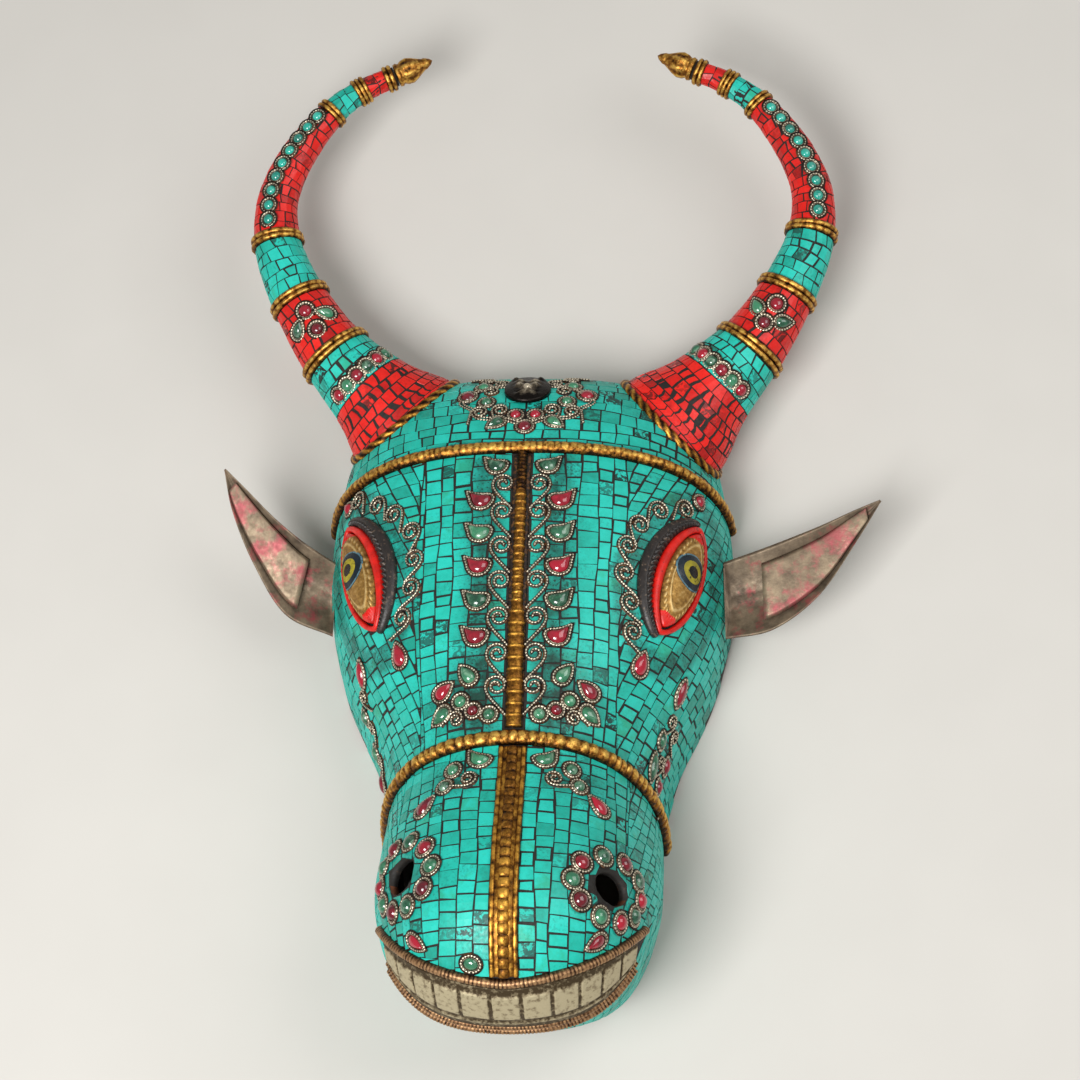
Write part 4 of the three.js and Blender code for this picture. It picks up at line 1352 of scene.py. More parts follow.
@dataclass
class Mount:
    """Soldered group of wire scrolls and set stones, on the head or a horn."""

    name: str
    stands_for: str
    seed: int = 1

    def __post_init__(self) -> None:
        """Starts the metal and the two kinds of stone."""
        self.metal, self.red, self.green = Work(), Work(), Work()
        self.chance = np.random.default_rng(self.seed)

    def set(self, gem: Gem, seat: Seat) -> None:
        """Sets a stone."""
        self.metal.add(gem.bezel(seat), 0)
        self.metal.add(gem.wall(seat), 0)
        self.metal.add(gem.bed(seat), 1)
        stones = self.red if gem.red else self.green
        stones.add(gem.stone(seat), tone=float(self.chance.uniform(0.15, 0.95)))

    def wire(self, rail: Rail, radius: float = 0.58, pitch: float = 1.5, height: float = 1.15) -> None:
        """Solders a beaded wire on, over a dark ribbon."""
        self.metal.add(sweep(rail, beaded(radius, pitch, height), 0.36, 6), 0)
        self.metal.add(sweep(rail, moulding(2.7, 0.75), 1.0, 6), 1)

    def scroll(self, along: float, across: float, size: float = 5.2, turn: float = 0.0, hand: int = 1,
               stem: float = 13.0, foot: float = -6.0) -> None:
        """Solders a C-scroll on the head.

        Args:
            along: distance of its eye along the ridge.
            across: girth distance of its eye.
            size: outer radius.
            turn: turn of the stem's direction from down the face.
            hand: 1 where the back of the scroll is away from the ridge, else -1.
            stem: length of the stem below the eye.
            foot: how far the stem's end lies to the other side.
        """
        turns = 1.55 * TURN
        phi = np.linspace(turns, 0, 60)
        radius = size * (0.16 + 0.84 * (1 - phi / turns) ** 0.85)
        spiral = np.column_stack([-radius * np.sin(phi), radius * np.cos(phi)])
        t = np.linspace(0, 1, 20)[1:, None]
        corners = ((0, size), (size * 0.9, size * 1.05), (stem * 0.6, 0), (stem, foot))
        p, q, r, end = (np.array(corner) for corner in corners)
        tail = (1 - t) ** 3 * p + 3 * t * (1 - t) ** 2 * q + 3 * t**2 * (1 - t) * r + t**3 * end
        path = np.vstack([spiral, tail])
        self.wire(on_head(*HEAD.patch(along, across, path[:, 0], path[:, 1] * hand, turn)))

    def finish(self, green: tuple[str, Finish, str] = ("greens", Finish.JADE, "jade")) -> None:
        """Makes the pieces of the group.

        Args:
            green: ending of the name, finish and slot of its green stones.
        """
        ending, stone, slot = green
        for work, name, finishes, place in (
                (self.metal, "wire", [Finish.SILVER, Finish.RECESS], "silver"),
                (self.red, "rubies", [Finish.RUBY], "ruby"), (self.green, ending, [stone], slot)):
            if work.mesh.faces:
                work.finish(f"{self.name}_{name}", finishes, place, [self.stands_for])


# A stone on the head: cut, length, width, whether red, and its place along, across and turn.
Stone = tuple[Cut, float, float, bool, float, float, float]


@dataclass
class GemWork:
    """All the gem mounts on one side of the face, each place measured along the ridge and across."""

    side: int
    column_scrolls: tuple[float, ...] = (132, 148.2, 167.8, 187.1, 206.8, 226, 243)
    column_leaves: tuple[float, ...] = (141.4, 160, 178.6, 197.2, 216.4)

    def __post_init__(self) -> None:
        """The chains round the eyes and the sprays on the cheeks were laid by hand and differ."""
        self.label = side_name(self.side)
        if self.side > 0:
            self.chain = ((133.6, 86.1), (140, 70.3), (150.9, 59.7), (163.6, 53.9), (178.7, 52.6),
                          (193.5, 55.9), (208.1, 58))
            self.chain_ends = ((124, 96), (222, 64))
            self.spray = ((223, 98.5, 15, 7.8, True, -0.1), (247, 92, 9.6, 7.2, False, 0.1),
                          (254, 104.5, 10, 7.2, True, 0), (261.5, 87.5, 16, 8, False, -0.1),
                          (267, 98, 9, 7, True, 0))
            self.spray_scrolls = ((236, 98, 1), (240, 106, -1), (256, 96, 1), (276, 101, 1))
        else:
            self.chain = ((123, 93.7), (132.7, 77.9), (141.8, 66.5), (154.5, 56), (170.2, 53.8),
                          (185.3, 55.1), (199.7, 60))
            self.chain_ends = ((122.5, 103), (217.5, 62.5))
            self.spray = ((213.5, 98.5, 15, 7.8, True, 0.2), (228, 111, 9.6, 7.2, False, 0.2),
                          (243, 114.5, 10, 7.2, False, 0), (257, 116, 12, 7.6, True, 0),
                          (269, 117, 8.6, 7, True, 0))
            self.spray_scrolls = ((222, 103, 1), (235, 106, -1), (250, 108, -1), (262, 110, -1))

    def mount(self, node: str, seed: int) -> Mount:
        """Starts the mount that stands for a solid."""
        return Mount(f"{self.label}_{node}", f"{self.label}_{node}", seed + (self.side > 0) * 50)

    def seat(self, along: float, across: float, turn: float = 0.0) -> Seat:
        """Seat on this side of the head."""
        return Seat.on_head(along, self.side * across, turn)

    def set_all(self, made: Mount, stones: Sequence[Stone]) -> None:
        """Sets plain stones."""
        for cut, length, width, red, along, across, turn in stones:
            made.set(Gem(cut, length, width, red), self.seat(along, across, turn))

    def column(self) -> None:
        """Scrolls and leaf stones beside the ridge, red and green by turns."""
        made = self.mount("ridge_column", 3)
        for along in self.column_scrolls:
            made.scroll(along, self.side * 8.9, 5.3, stem=15.2, foot=-4.6)
        self.set_all(made, [(Cut.LEAF, 9.6, 10.4, False, 121, 12.8, 0)])
        self.set_all(made, [(Cut.LEAF, 10.6, 11.6, i % 2 == 0, along, 19.8, 0.05 * self.side)
                            for i, along in enumerate(self.column_leaves)])
        self.set_all(made, [(Cut.ROUND, 7.4, 7.4, False, 257.5, 12, 0)])
        made.finish()

    def cluster(self) -> None:
        """Leaf stones above the muzzle band."""
        made = self.mount("forehead_cluster", 7)
        self.set_all(made, (
            (Cut.DROP, 12, 8.6, False, 236, 23.5, 2.5), (Cut.DROP, 12, 9.2, True, 242.5, 35.5, -2.2),
            (Cut.ROUND, 7.6, 7.6, False, 249.5, 26.5, 0), (Cut.ROUND, 7, 7, True, 255, 20, 0),
            (Cut.DROP, 12, 9, False, 255, 37, 0.9)))
        made.scroll(258, self.side * 28.5, 3.6, 1.7, 1, 8, -3)
        made.finish()

    def eye_chain(self) -> None:
        """Scrolls round the inner side of the eye, with a stone at each end."""
        made = self.mount("eye_surround", 13)
        along, across = np.array(self.chain).T * np.array([[1], [self.side]])
        points = HEAD.seat(along, across)
        last = len(points) - 1
        for i in range(last + 1):
            seat = Seat.on_head(float(along[i]), float(across[i]))
            ahead = points[min(i + 1, last)] - points[max(i - 1, 0)]
            turn = math.atan2(float(ahead @ seat.out), float(ahead @ seat.down))
            made.scroll(float(along[i]), float(across[i]), 5.0, turn, -1, 11.5, -5.2)
        upper, lower = self.chain_ends
        self.set_all(made, ((Cut.DROP, 9.4, 8.2, True, *upper, 2.6), (Cut.DROP, 13.4, 10, True, *lower, 2.9)))
        made.finish()

    def cheek(self) -> None:
        """Marquise stones, in wire with big beads, and beaded stems on the cheek."""
        made = self.mount("cheek_spray", 17)
        for along, across, length, width, red, turn in self.spray:
            stone = Gem(Cut.MARQUISE, length, width, red, wire=0.7, pitch=2.1)
            made.set(stone, self.seat(along, across, turn))
        for along, across, hand in self.spray_scrolls:
            made.scroll(along, self.side * across, 3.8, 0.1, hand, 9, -4)
        made.finish()

    def muzzle(self) -> None:
        """Leaf stones below the muzzle band."""
        made = self.mount("muzzle_spray", 23)
        self.set_all(made, (
            (Cut.LEAF, 9, 11, False, 282, 15.5, 0.2), (Cut.ROUND, 8, 7.6, False, 286.5, 28.5, 0),
            (Cut.ROUND, 7.6, 7.6, False, 296, 32.5, 0), (Cut.DROP, 13, 9.2, True, 305, 43, -2.2)))
        made.scroll(293, self.side * 20.5, 4.2, 0.9, -1, 10, -4)
        made.finish()

    def nostril(self) -> None:
        """Stones round the nostril, red and green by turns."""
        made = self.mount("nostril_ring", 29)
        nostril = Nostril(self.side)
        count = 10
        for i in range(count):
            angle = TURN * (i + 0.5) / count
            along = nostril.along + nostril.ring[0] * math.cos(angle)
            across = nostril.across + nostril.ring[1] * math.sin(angle)
            made.set(Gem(Cut.ROUND, 9.2, 9.2, i % 2 == 0, 3.0), self.seat(along, across, angle))
        made.finish()

    def lip(self) -> None:
        """Stone above the corner of the lip."""
        made = self.mount("lip_gem", 31)
        made.set(Gem(Cut.DROP, 12.4, 8, True, 2.2), self.seat(380.5, 45, -1.2))
        made.finish()

    def make(self) -> None:
        """Builds the side's mounts."""
        self.column()
        self.cluster()
        self.eye_chain()
        self.cheek()
        self.muzzle()
        self.nostril()
        self.lip()


# Bands and mouth


@dataclass
class Bands:
    """Gilt bands over brow and muzzle, ribs down the ridge, and the beaded lips and teeth."""

    # Where the ridge and the nose strip start and end along the ridge.
    ridge_span: tuple[float, float] = (115, 264.5)
    nose_span: tuple[float, float] = (275.5, 399)
    # The ridge's ribs are fine this far down it, and swollen from there on.
    fine_run: float = 22.0
    swollen_run: float = 84.0
    plates: int = 11
    plates_half: float = 78.0

    def band(self, name: str, rail: Rail, section: Section, step: float, finish: Finish,
             sides: int = 12) -> None:
        """One moulded strip."""
        work = Work()
        work.add(sweep(rail, section, step, sides))
        work.finish(name + "_moulding", [finish], "gilt", [name])

    @staticmethod
    def rough(width: float, height: float, pitch: float, depth: float) -> Section:
        """Section of a half round of gilt lumps: bright along its crown, partly rubbed and partly a painted
        highlight, brown at its foot.

        Args:
            width: full width.
            height: full height.
            pitch: mean length of a lump.
            depth: share of the height lost between lumps.
        Returns:
            The section.
        """
        def section(run: Array, angle: Array) -> tuple[Array, Array, Array]:
            """Uneven lumps."""
            phase = np.pi * run / pitch + 0.9 * np.sin(run / 7.7) + 0.5 * np.sin(run / 3.1 + 1)
            bead = np.abs(np.sin(phase)) ** 0.7
            top = np.maximum(np.sin(angle), 0)
            high = height * (1 - depth * (1 - bead) + 0.04 * np.sin(run / 1.9 + 3 * angle))
            # Lighter toward the top as a painted highlight, and on the lumps, where they are rubbed.
            wear_and_highlight = np.clip(top**1.6 * (0.3 + 0.6 * bead), 0, 1)
            return width / 2 * np.cos(angle), half_round(angle, high), wear_and_highlight
        return section

    def ridge(self) -> None:
        """Brown bed with a gilt ringed rod."""
        work = Work()
        along = np.linspace(*self.ridge_span, 180)
        bed = on_head(along, np.zeros_like(along))
        work.add(sweep(bed, moulding(9, 1.5), 2.0, 12), 1)

        def ribs(run: Array, angle: Array) -> tuple[Array, Array, Array]:
            """Thin rings on a rod, close and dark above, wide apart and swollen toward the muzzle."""
            fine = run < self.fine_run
            low = np.clip((run - self.swollen_run) / 10, 0, 1)
            pitch = np.where(fine, 2.2, np.where(run < self.swollen_run, 4.2, 6.0))
            away = np.abs((run / pitch) % 1 - 0.5) * pitch
            ring = hump(pitch / 2, away, 0.55)
            belly = 1 - (2 * away / pitch) ** 2
            wide = np.where(fine, 2.7, 3.1) + 1.2 * low
            high = 3.7 - 0.4 * low + 0.75 * ring + (0.3 + 0.5 * low) * belly
            bright = np.where(fine, 0.18, 0.62)
            up = half_round(angle, high, 0.7, 0.5)
            top = np.maximum(np.sin(angle), 0)
            # Lighter on the rod's top and on the rings' crests: painted highlights over the gilding.
            wear_and_highlight = bright * (0.25 + 0.55 * top) + 0.55 * ring * bright * (0.4 + 0.6 * top)
            return wide * (0.94 + 0.12 * ring) * np.cos(angle), up, np.clip(wear_and_highlight, 0, 1)
        work.add(sweep(bed, ribs, 0.4, 12), 0)
        work.finish("forehead_ridge_ribs", [Finish.RIDGE, Finish.RECESS], "gilt", ["forehead_ridge"])

    def nose(self) -> None:
        """Nose strip: two gilt flanges with a row of squarish beads between them."""
        work = Work()
        along = np.linspace(*self.nose_span, 160)
        bed = on_head(along, np.zeros_like(along))
        work.add(sweep(bed, self.rough(12.6, 1.7, 9.0, 0.06), 1.2, 12), 0)
        for side in (-1, 1):
            rim = on_head(along, np.full_like(along, side * 5.4))
            work.add(sweep(rim, self.rough(3.0, 2.1, 7.0, 0.12), 0.8, 10), 0)

        def beads(run: Array, angle: Array) -> tuple[Array, Array, Array]:
            """Squarish beads, plainer above."""
            bead = np.abs(np.sin(np.pi * run / 5.2)) ** 0.35
            high = 3.5 * (0.62 + 0.38 * bead)
            up = half_round(angle, high, 0.6, 0.5)
            bright = 0.45 + 0.45 * hump(run, 85, 26)
            return 3.0 * (0.8 + 0.2 * bead) * np.cos(angle), up, np.clip(bead * bright, 0, 1)
        work.add(sweep(bed, beads, 0.5, 12), 0)
        work.finish("nose_strip_beads", [Finish.RIDGE, Finish.RECESS], "gilt", ["nose_strip"])

    def teeth(self) -> None:
        """Tinned plates with chased verticals between the lips."""
        half, count = self.plates_half, self.plates

        def place(u: Array, v: Array) -> Array:
            """Points of the plates, in a plain frame."""
            across = (2 * u - 1) * half
            top, bottom = upper_line(across) + 2.8, lower_line(across) - 0.6
            edge = np.abs(((across + half) / (2 * half) * count) % 1 - 0.5) * 2
            front = np.clip((v - 0.06) / 0.88, 0, 1)
            inside = np.clip((0.9 - edge) / 0.06, 0, 1) * np.clip((front - 0.12) / 0.05, 0, 1)
            inside = inside * np.clip((0.74 - front) / 0.05, 0, 1)
            rib = hump(front, 0.84, 0.035)
            lift = np.where((v < 0.04) | (v > 0.96), -1.5, 1.7 + 0.6 * front + 0.8 * inside + 0.7 * rib)
            points = HEAD.seat(top + (bottom - top) * front, across, lift)
            return np.column_stack([points, np.clip(0.12 + 0.75 * inside + 0.5 * rib, 0, 1)])
        work = Work()
        work.add(sheet(44, 320, place))
        work.finish("teeth_plates", [Finish.TEETH], "teeth", ["teeth"])

    def make(self) -> None:
        """Builds the pieces."""
        across = np.linspace(-140, 140, 240)
        self.band("brow_band", on_head(brow_line(across), across), self.rough(6.8, 4.0, 3.4, 0.1), 0.8,
                  Finish.GILT, 16)
        across = np.linspace(-138, 138, 240)
        self.band("muzzle_band", on_head(muzzle_line(across), across), self.rough(7.8, 4.4, 4.8, 0.3), 0.6,
                  Finish.GILT, 16)
        self.ridge()
        self.nose()
        across = np.linspace(-LIP_HALF, LIP_HALF, 160)
        self.band("upper_lip", on_head(upper_line(across), across), moulding(4.6, 3.4, 1.9, 0.1, flat=3), 0.6,
                  Finish.BRONZE)
        self.teeth()
        work = Work()
        across = np.linspace(-80, 80, 160)
        for shift, width, height in ((1.0, 3.6, 3.4), (5.0, 3.8, 4.0)):
            rail = on_head(lower_line(across) + shift, across)
            work.add(sweep(rail, moulding(width, height, 1.7, 0.14), 0.55, 10))
        work.finish("lower_lip_beads", [Finish.BRONZE], "gilt", ["lower_lip"])


# Eyes


@dataclass
class EyeWork:
    """Gilt eyeball with a painted iris, red rim and black chased lid."""

    side: int
    # Height of the ball's edge, the rise of its dome, and the red of its corners from this far out.
    edge: float = 1.8
    dome: float = 5.0
    corner: float = 23.0
    # Where the iris lies from the eye's middle, and its rings: radii and finish, from the pupil out.
    iris_along: float = -3.2
    iris_across: float = 2.6
    rings: tuple[tuple[float, float, Finish], ...] = (
        (0, 3.0, Finish.PUPIL), (3.0, 5.7, Finish.OLIVE), (5.7, 8.6, Finish.NAVY),
        (8.6, 9.4, Finish.LINE), (9.4, 9.9, Finish.BLACK),
    )
    # The lid's angles round the eye, how far off it starts and how wide it grows.
    lid_start: float = 3.3
    lid_end: float = 6.2
    lid_off: float = 4.4
    lid_wide: float = 8.5

    def __post_init__(self) -> None:
        """Finds the eye."""
        self.eye = Eye(self.side)
        self.name = side_name(self.side)

    def height(self, size: Array) -> Array:
        """Height of the ball, by share of its size."""
        return self.edge + self.dome * np.sqrt(np.maximum(1 - size**2, 0))

    @staticmethod
    def swell(share: Array) -> Array:
        """How wide the lid is on its way round, from a quarter to full."""
        return 0.25 + 0.75 * np.maximum(np.sin(np.pi * share), 0) ** 0.7

    def ball(self) -> None:
        """Gilt ball with raised rings, and the iris on it."""
        eye = self.eye
        work = Work()
        finishes = [Finish.BALL, Finish.RED, *(finish for _, _, finish in self.rings)]

        def ball(u: Array, v: Array) -> Array:
            """Almond dome with a beaded ring and a rib inside its edge, red in its corners."""
            size = np.minimum(v / 0.9, 1)
            angle = u * TURN
            along, across = eye.almond(angle, 0.0, size)
            beads = hump(size, 0.84, 0.045)
            rib = hump(size, 0.68, 0.035)
            row = np.sin(angle * 40)
            lift = self.height(size) + beads * (0.4 + 0.3 * row) + 0.4 * rib
            lift = np.where(v > 0.9, -1.0, lift)
            # Painted shading: the dome is lighter toward its middle and darker toward its edge.
            wear_and_highlight = 0.3 + 0.6 * beads * (0.5 + 0.5 * row) + 0.45 * rib + 0.3 * (1 - size)
            return np.column_stack([HEAD.seat(along, across, lift), wear_and_highlight])
        dome = sheet(40, 176, ball)
        seat = Seat.on_head(eye.along, self.side * eye.across, eye.turn)
        for face in dome.faces:
            away = np.array(face.calc_center_median()) / MM + MIDDLE - seat.origin
            face.material_index = 1 if abs(float(away @ seat.down)) > self.corner else 0
        work.add(dome, None)
        for inner, outer, finish in self.rings:
            def iris(u: Array, v: Array, inner: float = inner, outer: float = outer) -> Array:
                """One painted ring of the iris, a thin disc that follows the ball."""
                radius = inner + (outer - inner) * v
                angle = u * TURN
                along = eye.along + self.iris_along + radius * np.cos(angle)
                across = eye.across + self.iris_across + radius * np.sin(angle)
                for _ in range(24):
                    over = eye.size(along, self.side * across) > 0.9
                    across = np.where(over, across - (across - eye.across) * 0.04, across)
                    along = np.where(over, along - (along - eye.along) * 0.04, along)
                size = np.minimum(eye.size(along, self.side * across), 1)
                edge = 1.6 * np.clip((radius - 9.4) / 0.5, 0, 1)
                lift = self.height(size) + 1.0 - 0.008 * radius**2 - edge
                return HEAD.seat(along, self.side * across, lift)
            work.add(sheet(5, 48, iris), finishes.index(finish), close=False)
        work.finish(f"{self.name}_eye_paint", finishes, "gilt", [f"{self.name}_eyeball"])

    def rim(self) -> None:
        """Red rim, wider on its inner side."""
        work = Work()

        def place(u: Array, v: Array) -> Array:
            """Rounded band."""
            angle, turn = u * TURN, v * TURN
            inner = np.clip(-np.sin(angle), 0, 1) ** 0.7
            grow = 2.0 + 0.4 * (1 - inner) - (1.5 + 1.1 * inner) * np.cos(turn)
            rise = (1.4 + 1.2 * inner) * np.maximum(np.sin(turn), 0) ** 0.7
            lift = np.where(np.sin(turn) > 0, 1.6 + rise, -1.0)
            along, across = self.eye.almond(angle, grow)
            return HEAD.seat(along, across, lift)
        work.add(sheet(14, 96, place))
        work.finish(f"{self.name}_eye_rim_paint", [Finish.RED], "red_paint", [f"{self.name}_eye_rim"])

    def lid(self) -> None:
        """Black brow ridge with slanting chased ribs on its inner half."""
        work = Work()

        def place(u: Array, v: Array) -> Array:
            """Crescent."""
            swell = self.swell(u)
            part = np.clip((v - 0.04) / 0.92, 0, 1)
            grow = self.lid_off + self.lid_wide * swell * part
            angle = self.lid_start + (self.lid_end - self.lid_start) * u
            ribs = np.sin((u * 34 - part * 1.4) * TURN) * np.exp(-((part - 0.24) / 0.24) ** 4)
            lift = (1.6 + 3.4 * swell * np.maximum(np.sin(np.pi * part), 0) ** 0.6 + 0.85 * ribs * swell
                    - 0.8 * swell * hump(part, 0.5, 0.06))
            lift = np.where((v < 0.03) | (v > 0.97), -1.0, lift)
            along, across = self.eye.almond(angle, grow)
            return HEAD.seat(along, across, lift)
        work.add(sheet(26, 340, place))
        angle = np.linspace(3.55, 4.9, 40)
        swell = self.swell((angle - self.lid_start) / (self.lid_end - self.lid_start))
        line = on_head(*self.eye.almond(angle, self.lid_off + self.lid_wide * swell - 0.9))
        work.add(sweep(line, moulding(1.0, 3.0), 0.8, 8), 1)
        work.finish(f"{self.name}_eyelid_paint", [Finish.BLACK, Finish.SILVER], "black_paint",
                    [f"{self.name}_eyelid"])

    def make(self) -> None:
        """Builds the pieces."""
        self.ball()
        self.rim()
        self.lid()


# Horns


# Bud on a horn's tip: distance from the tip end and radius.
BUD = np.array([(-0.3, 4.2), (-0.5, 6.0), (-2, 6.5), (-3.2, 5.6), (-5, 6.6), (-8, 6.9), (-11, 5.8),
                (-14, 4.2), (-16, 3.2), (-17.5, 3.0), (-20, 1.6), (-21.2, 0.2)])


@dataclass
class HornRing:
    """Gilt wires round a horn."""

    name: str
    run: float
    wires: int
    width: float
    height: float


@dataclass
class Horn:
    """One horn: mastic core, bands of chips, gilt rings, bud tip, stones and the collar at its root."""

    side: int
    outside: BVHTree
    rings: tuple[HornRing, ...] = (
        HornRing("tip", 3.5, 2, 5, 2.0), HornRing("high", 20, 3, 7, 1.9),
        HornRing("upper", 40, 2, 5, 2.0), HornRing("middle", 121, 2, 6, 2.2),
        HornRing("lower", 157, 2, 6, 2.3), HornRing("low", 193, 2, 6, 2.4),
    )
    # Start and end of each band of chips, from the tip end.
    coral: tuple[tuple[float, float], ...] = ((5, 17), (42, 118.5), (160, 190), (219, 330))
    turquoise: tuple[tuple[float, float], ...] = ((23, 38), (124, 154), (196, 219))
    # Stones of the cluster: distance from the tip end, degrees round, sizes, whether red, cut and turn.
    cluster: tuple[tuple[float, float, float, float, bool, Cut, float], ...] = (
        (169, 84, 8.4, 8.4, True, Cut.ROUND, 0), (181, 84, 8.0, 8.0, True, Cut.ROUND, 0),
        (175, 54, 11, 8, False, Cut.DROP, 2.2), (175, 114, 11, 8, False, Cut.DROP, -2.2),
    )
    chip: float = 6.4
    course: float = 5.6

    def __post_init__(self) -> None:
        """Finds where the horn enters the head, all round."""
        self.form = HornForm(self.side)
        self.name = side_name(self.side)
        self.angles = np.linspace(0, TURN, 97)
        self.roots = np.array([self.root(float(angle)) for angle in self.angles])

    def root(self, angle: float) -> float:
        """Run at which one line of the horn meets the head."""
        step = 1.5
        runs = np.arange(195.0, self.form.length, step)
        points = to_row(self.form.point(runs, np.full_like(runs, angle)))
        for i in range(len(runs) - 1):
            start = Vector(points[i])
            way = Vector(points[i + 1]) - start
            hit = self.outside.ray_cast(start, way.normalized(), way.length)
            if hit[0] is not None:
                return float(runs[i] + step * hit[3] / way.length)
        return float(self.form.length - 3)

    def root_at(self, angle: Array) -> Array:
        """Run at the head for angles."""
        return np.interp(angle % TURN, self.angles, self.roots)

    def core(self) -> None:
        """Mastic body under the chips."""
        work = Work()

        def place(u: Array, v: Array) -> Array:
            """Points of the body."""
            angle = u * TURN
            end = self.root_at(angle) + 3
            part = np.clip((v - 0.01) / 0.98, 0, 1)
            shrink = np.where((v < 0.005) | (v > 0.995), -self.form.radius(part * end) * 0.98, 0.0)
            return self.form.point(part * end, angle, shrink)
        work.add(sheet(100, 36, place), close=False)
        bmesh.ops.recalc_face_normals(work.mesh, faces=work.mesh.faces)
        work.finish(f"{self.name}_horn_core", [Finish.MASTIC], "coral", [f"{self.name}_horn"])

    def chips(self, stone: Finish, spans: Sequence[tuple[float, float]], seed: int) -> None:
        """Bands of chips.

        Args:
            stone: finish of the chips.
            spans: start and end of each band, from the tip end.
            seed: for the chips' uneven sizes.
        """
        laid = Chips(seed=seed, grout=0.46, chamfer=0.08, ragged=0.14)
        chance = laid.chance
        for start, end in spans:
            count = max(int(round((end - start) / self.course)), 1)
            lines = np.linspace(start, end, count + 1)
            waves = chance.uniform(0, PHASE, count + 1)
            for j in range(count):
                middle = (lines[j] + lines[j + 1]) / 2
                around = max(int(round(TURN * float(self.form.radius(middle)) / self.chip)), 6)
                cuts = np.linspace(0, TURN, around + 1) + chance.uniform(0, TURN)
                jitter = chance.uniform(-0.22, 0.22, around + 1) * TURN / around
                jitter[-1] = jitter[0]
                lean = chance.uniform(-0.16, 0.16, around + 1) * TURN / around
                lean[-1] = lean[0]
                rows = []
                for k, sign in ((j, -1), (j + 1, 1)):
                    angle = cuts + jitter + lean * sign
                    sway = 0.7 if 0 < k < count else 0.0
                    y = lines[k] + sway * np.sin(2 * angle + waves[k])
                    rows.extend((angle * self.form.radius(y), y))
                laid.course(*rows)

        def inside(x: Array, y: Array) -> Array:
            """Chips outside the head."""
            return y < self.root_at(x / self.form.radius(y)) - 0.5
        laid.keep(inside)
        laid.cut()
        laid.lay(lambda x, y, z: self.form.point(y, x / self.form.radius(y), z), flip=self.side < 0)
        label = "coral" if stone is Finish.CORAL else "turquoise"
        laid.work.finish(f"{self.name}_horn_{label}", [stone], label, [f"{self.name}_horn"])

    def loop(self, run: float | Array, lift: float = 0.0) -> Rail:
        """Closed path round the horn."""
        runs = np.broadcast_to(np.asarray(run, float), self.angles.shape)
        return Rail(self.form.point(runs, self.angles, lift), self.form.normal(runs, self.angles))

    def ring(self, ring: HornRing) -> None:
        """One set of gilt wires."""
        work = Work()
        for i in range(ring.wires):
            wide = ring.width / ring.wires
            run = ring.run - ring.width / 2 + wide * (i + 0.5)
            section = Bands.rough(wide * 1.12, ring.height, 4.6, 0.03)
            work.add(sweep(self.loop(run), section, 0.8, 10, loop=True))
        name = f"{self.name}_{ring.name}_horn"
        work.finish(name + "_wires", [Finish.GILT], "gilt", [name + "_ring"])

    def tip(self) -> None:
        """Gilt bud with a collar and a pointed end."""
        end = 5.3
        work = Work()

        def place(u: Array, v: Array) -> Array:
            """Points of the bud, with eight shallow petals."""
            run, radius = on_profile(BUD, v)
            angle = u * TURN
            petal = np.cos(8 * angle) * hump(run, -8, 4)
            points = self.form.point(run, angle, radius + 0.35 * petal - end)
            return np.column_stack([points, 0.55 + 0.3 * petal])
        work.add(sheet(44, 48, place))
        work.finish(f"{self.name}_horn_bud", [Finish.GILT], "gilt", [f"{self.name}_horn_tip"])

    def collar(self) -> None:
        """Gilt rope where the horn meets the head."""
        runs = self.root_at(self.angles)
        window = np.ones(5) / 5
        runs = np.convolve(np.concatenate([runs[-5:-1], runs, runs[1:5]]), window, "same")[4:-4]
        work = Work()

        def section(run: Array, angle: Array) -> tuple[Array, Array, Array]:
            """Round rope."""
            lobe = np.cos(3 * angle - TURN * run / 7.0)
            size = 2.5 * (1 + 0.1 * lobe)
            return size * np.cos(angle), size * np.sin(angle), 0.4 + 0.35 * lobe
        work.add(sweep(self.loop(runs, 0.4), section, 1.0, 14, loop=True))
        work.finish(f"{self.name}_horn_rope", [Finish.RIDGE], "gilt", [f"{self.name}_horn_collar"])

    def stones(self) -> None:
        """Rows and cluster of stones."""
        name = f"{self.name}_horn_gem_row"
        row = Mount(name, name, 41)
        count, start, length = 9, 44, 72
        for i in range(count):
            seat = Seat.on_horn(self.form, start + length * (i + 0.5) / count, math.radians(78))
            row.set(Gem(Cut.ROUND, 7.2, 7.0, False, 2.2, 0.42), seat)
        row.finish(("stones", Finish.TURQUOISE_BEAD, "turquoise"))
        name = f"{self.name}_horn_cluster"
        cluster = Mount(name, name, 43)
        for run, around, length, width, red, cut, turn in self.cluster:
            seat = Seat.on_horn(self.form, run, math.radians(around), turn)
            cluster.set(Gem(cut, length, width, red, 2.4), seat)
        cluster.finish()
        name = f"{self.name}_horn_base_row"
        base = Mount(name, name, 47)
        count, start, arc = 6, 34, 116
        for i in range(count):
            angle = math.radians(start + arc * (i + 0.5) / count)
            base.set(Gem(Cut.ROUND, 8, 8, i % 2 == 0, 2.5), Seat.on_horn(self.form, 214, angle))
        base.finish()

    def make(self) -> None:
        """Builds the horn."""
        self.core()
        self.chips(Finish.CORAL, self.coral, 61 + self.side)
        self.chips(Finish.TURQUOISE, self.turquoise, 71 + self.side)
        for ring in self.rings:
            self.ring(ring)
        self.tip()
        self.collar()
        self.stones()


# Ears


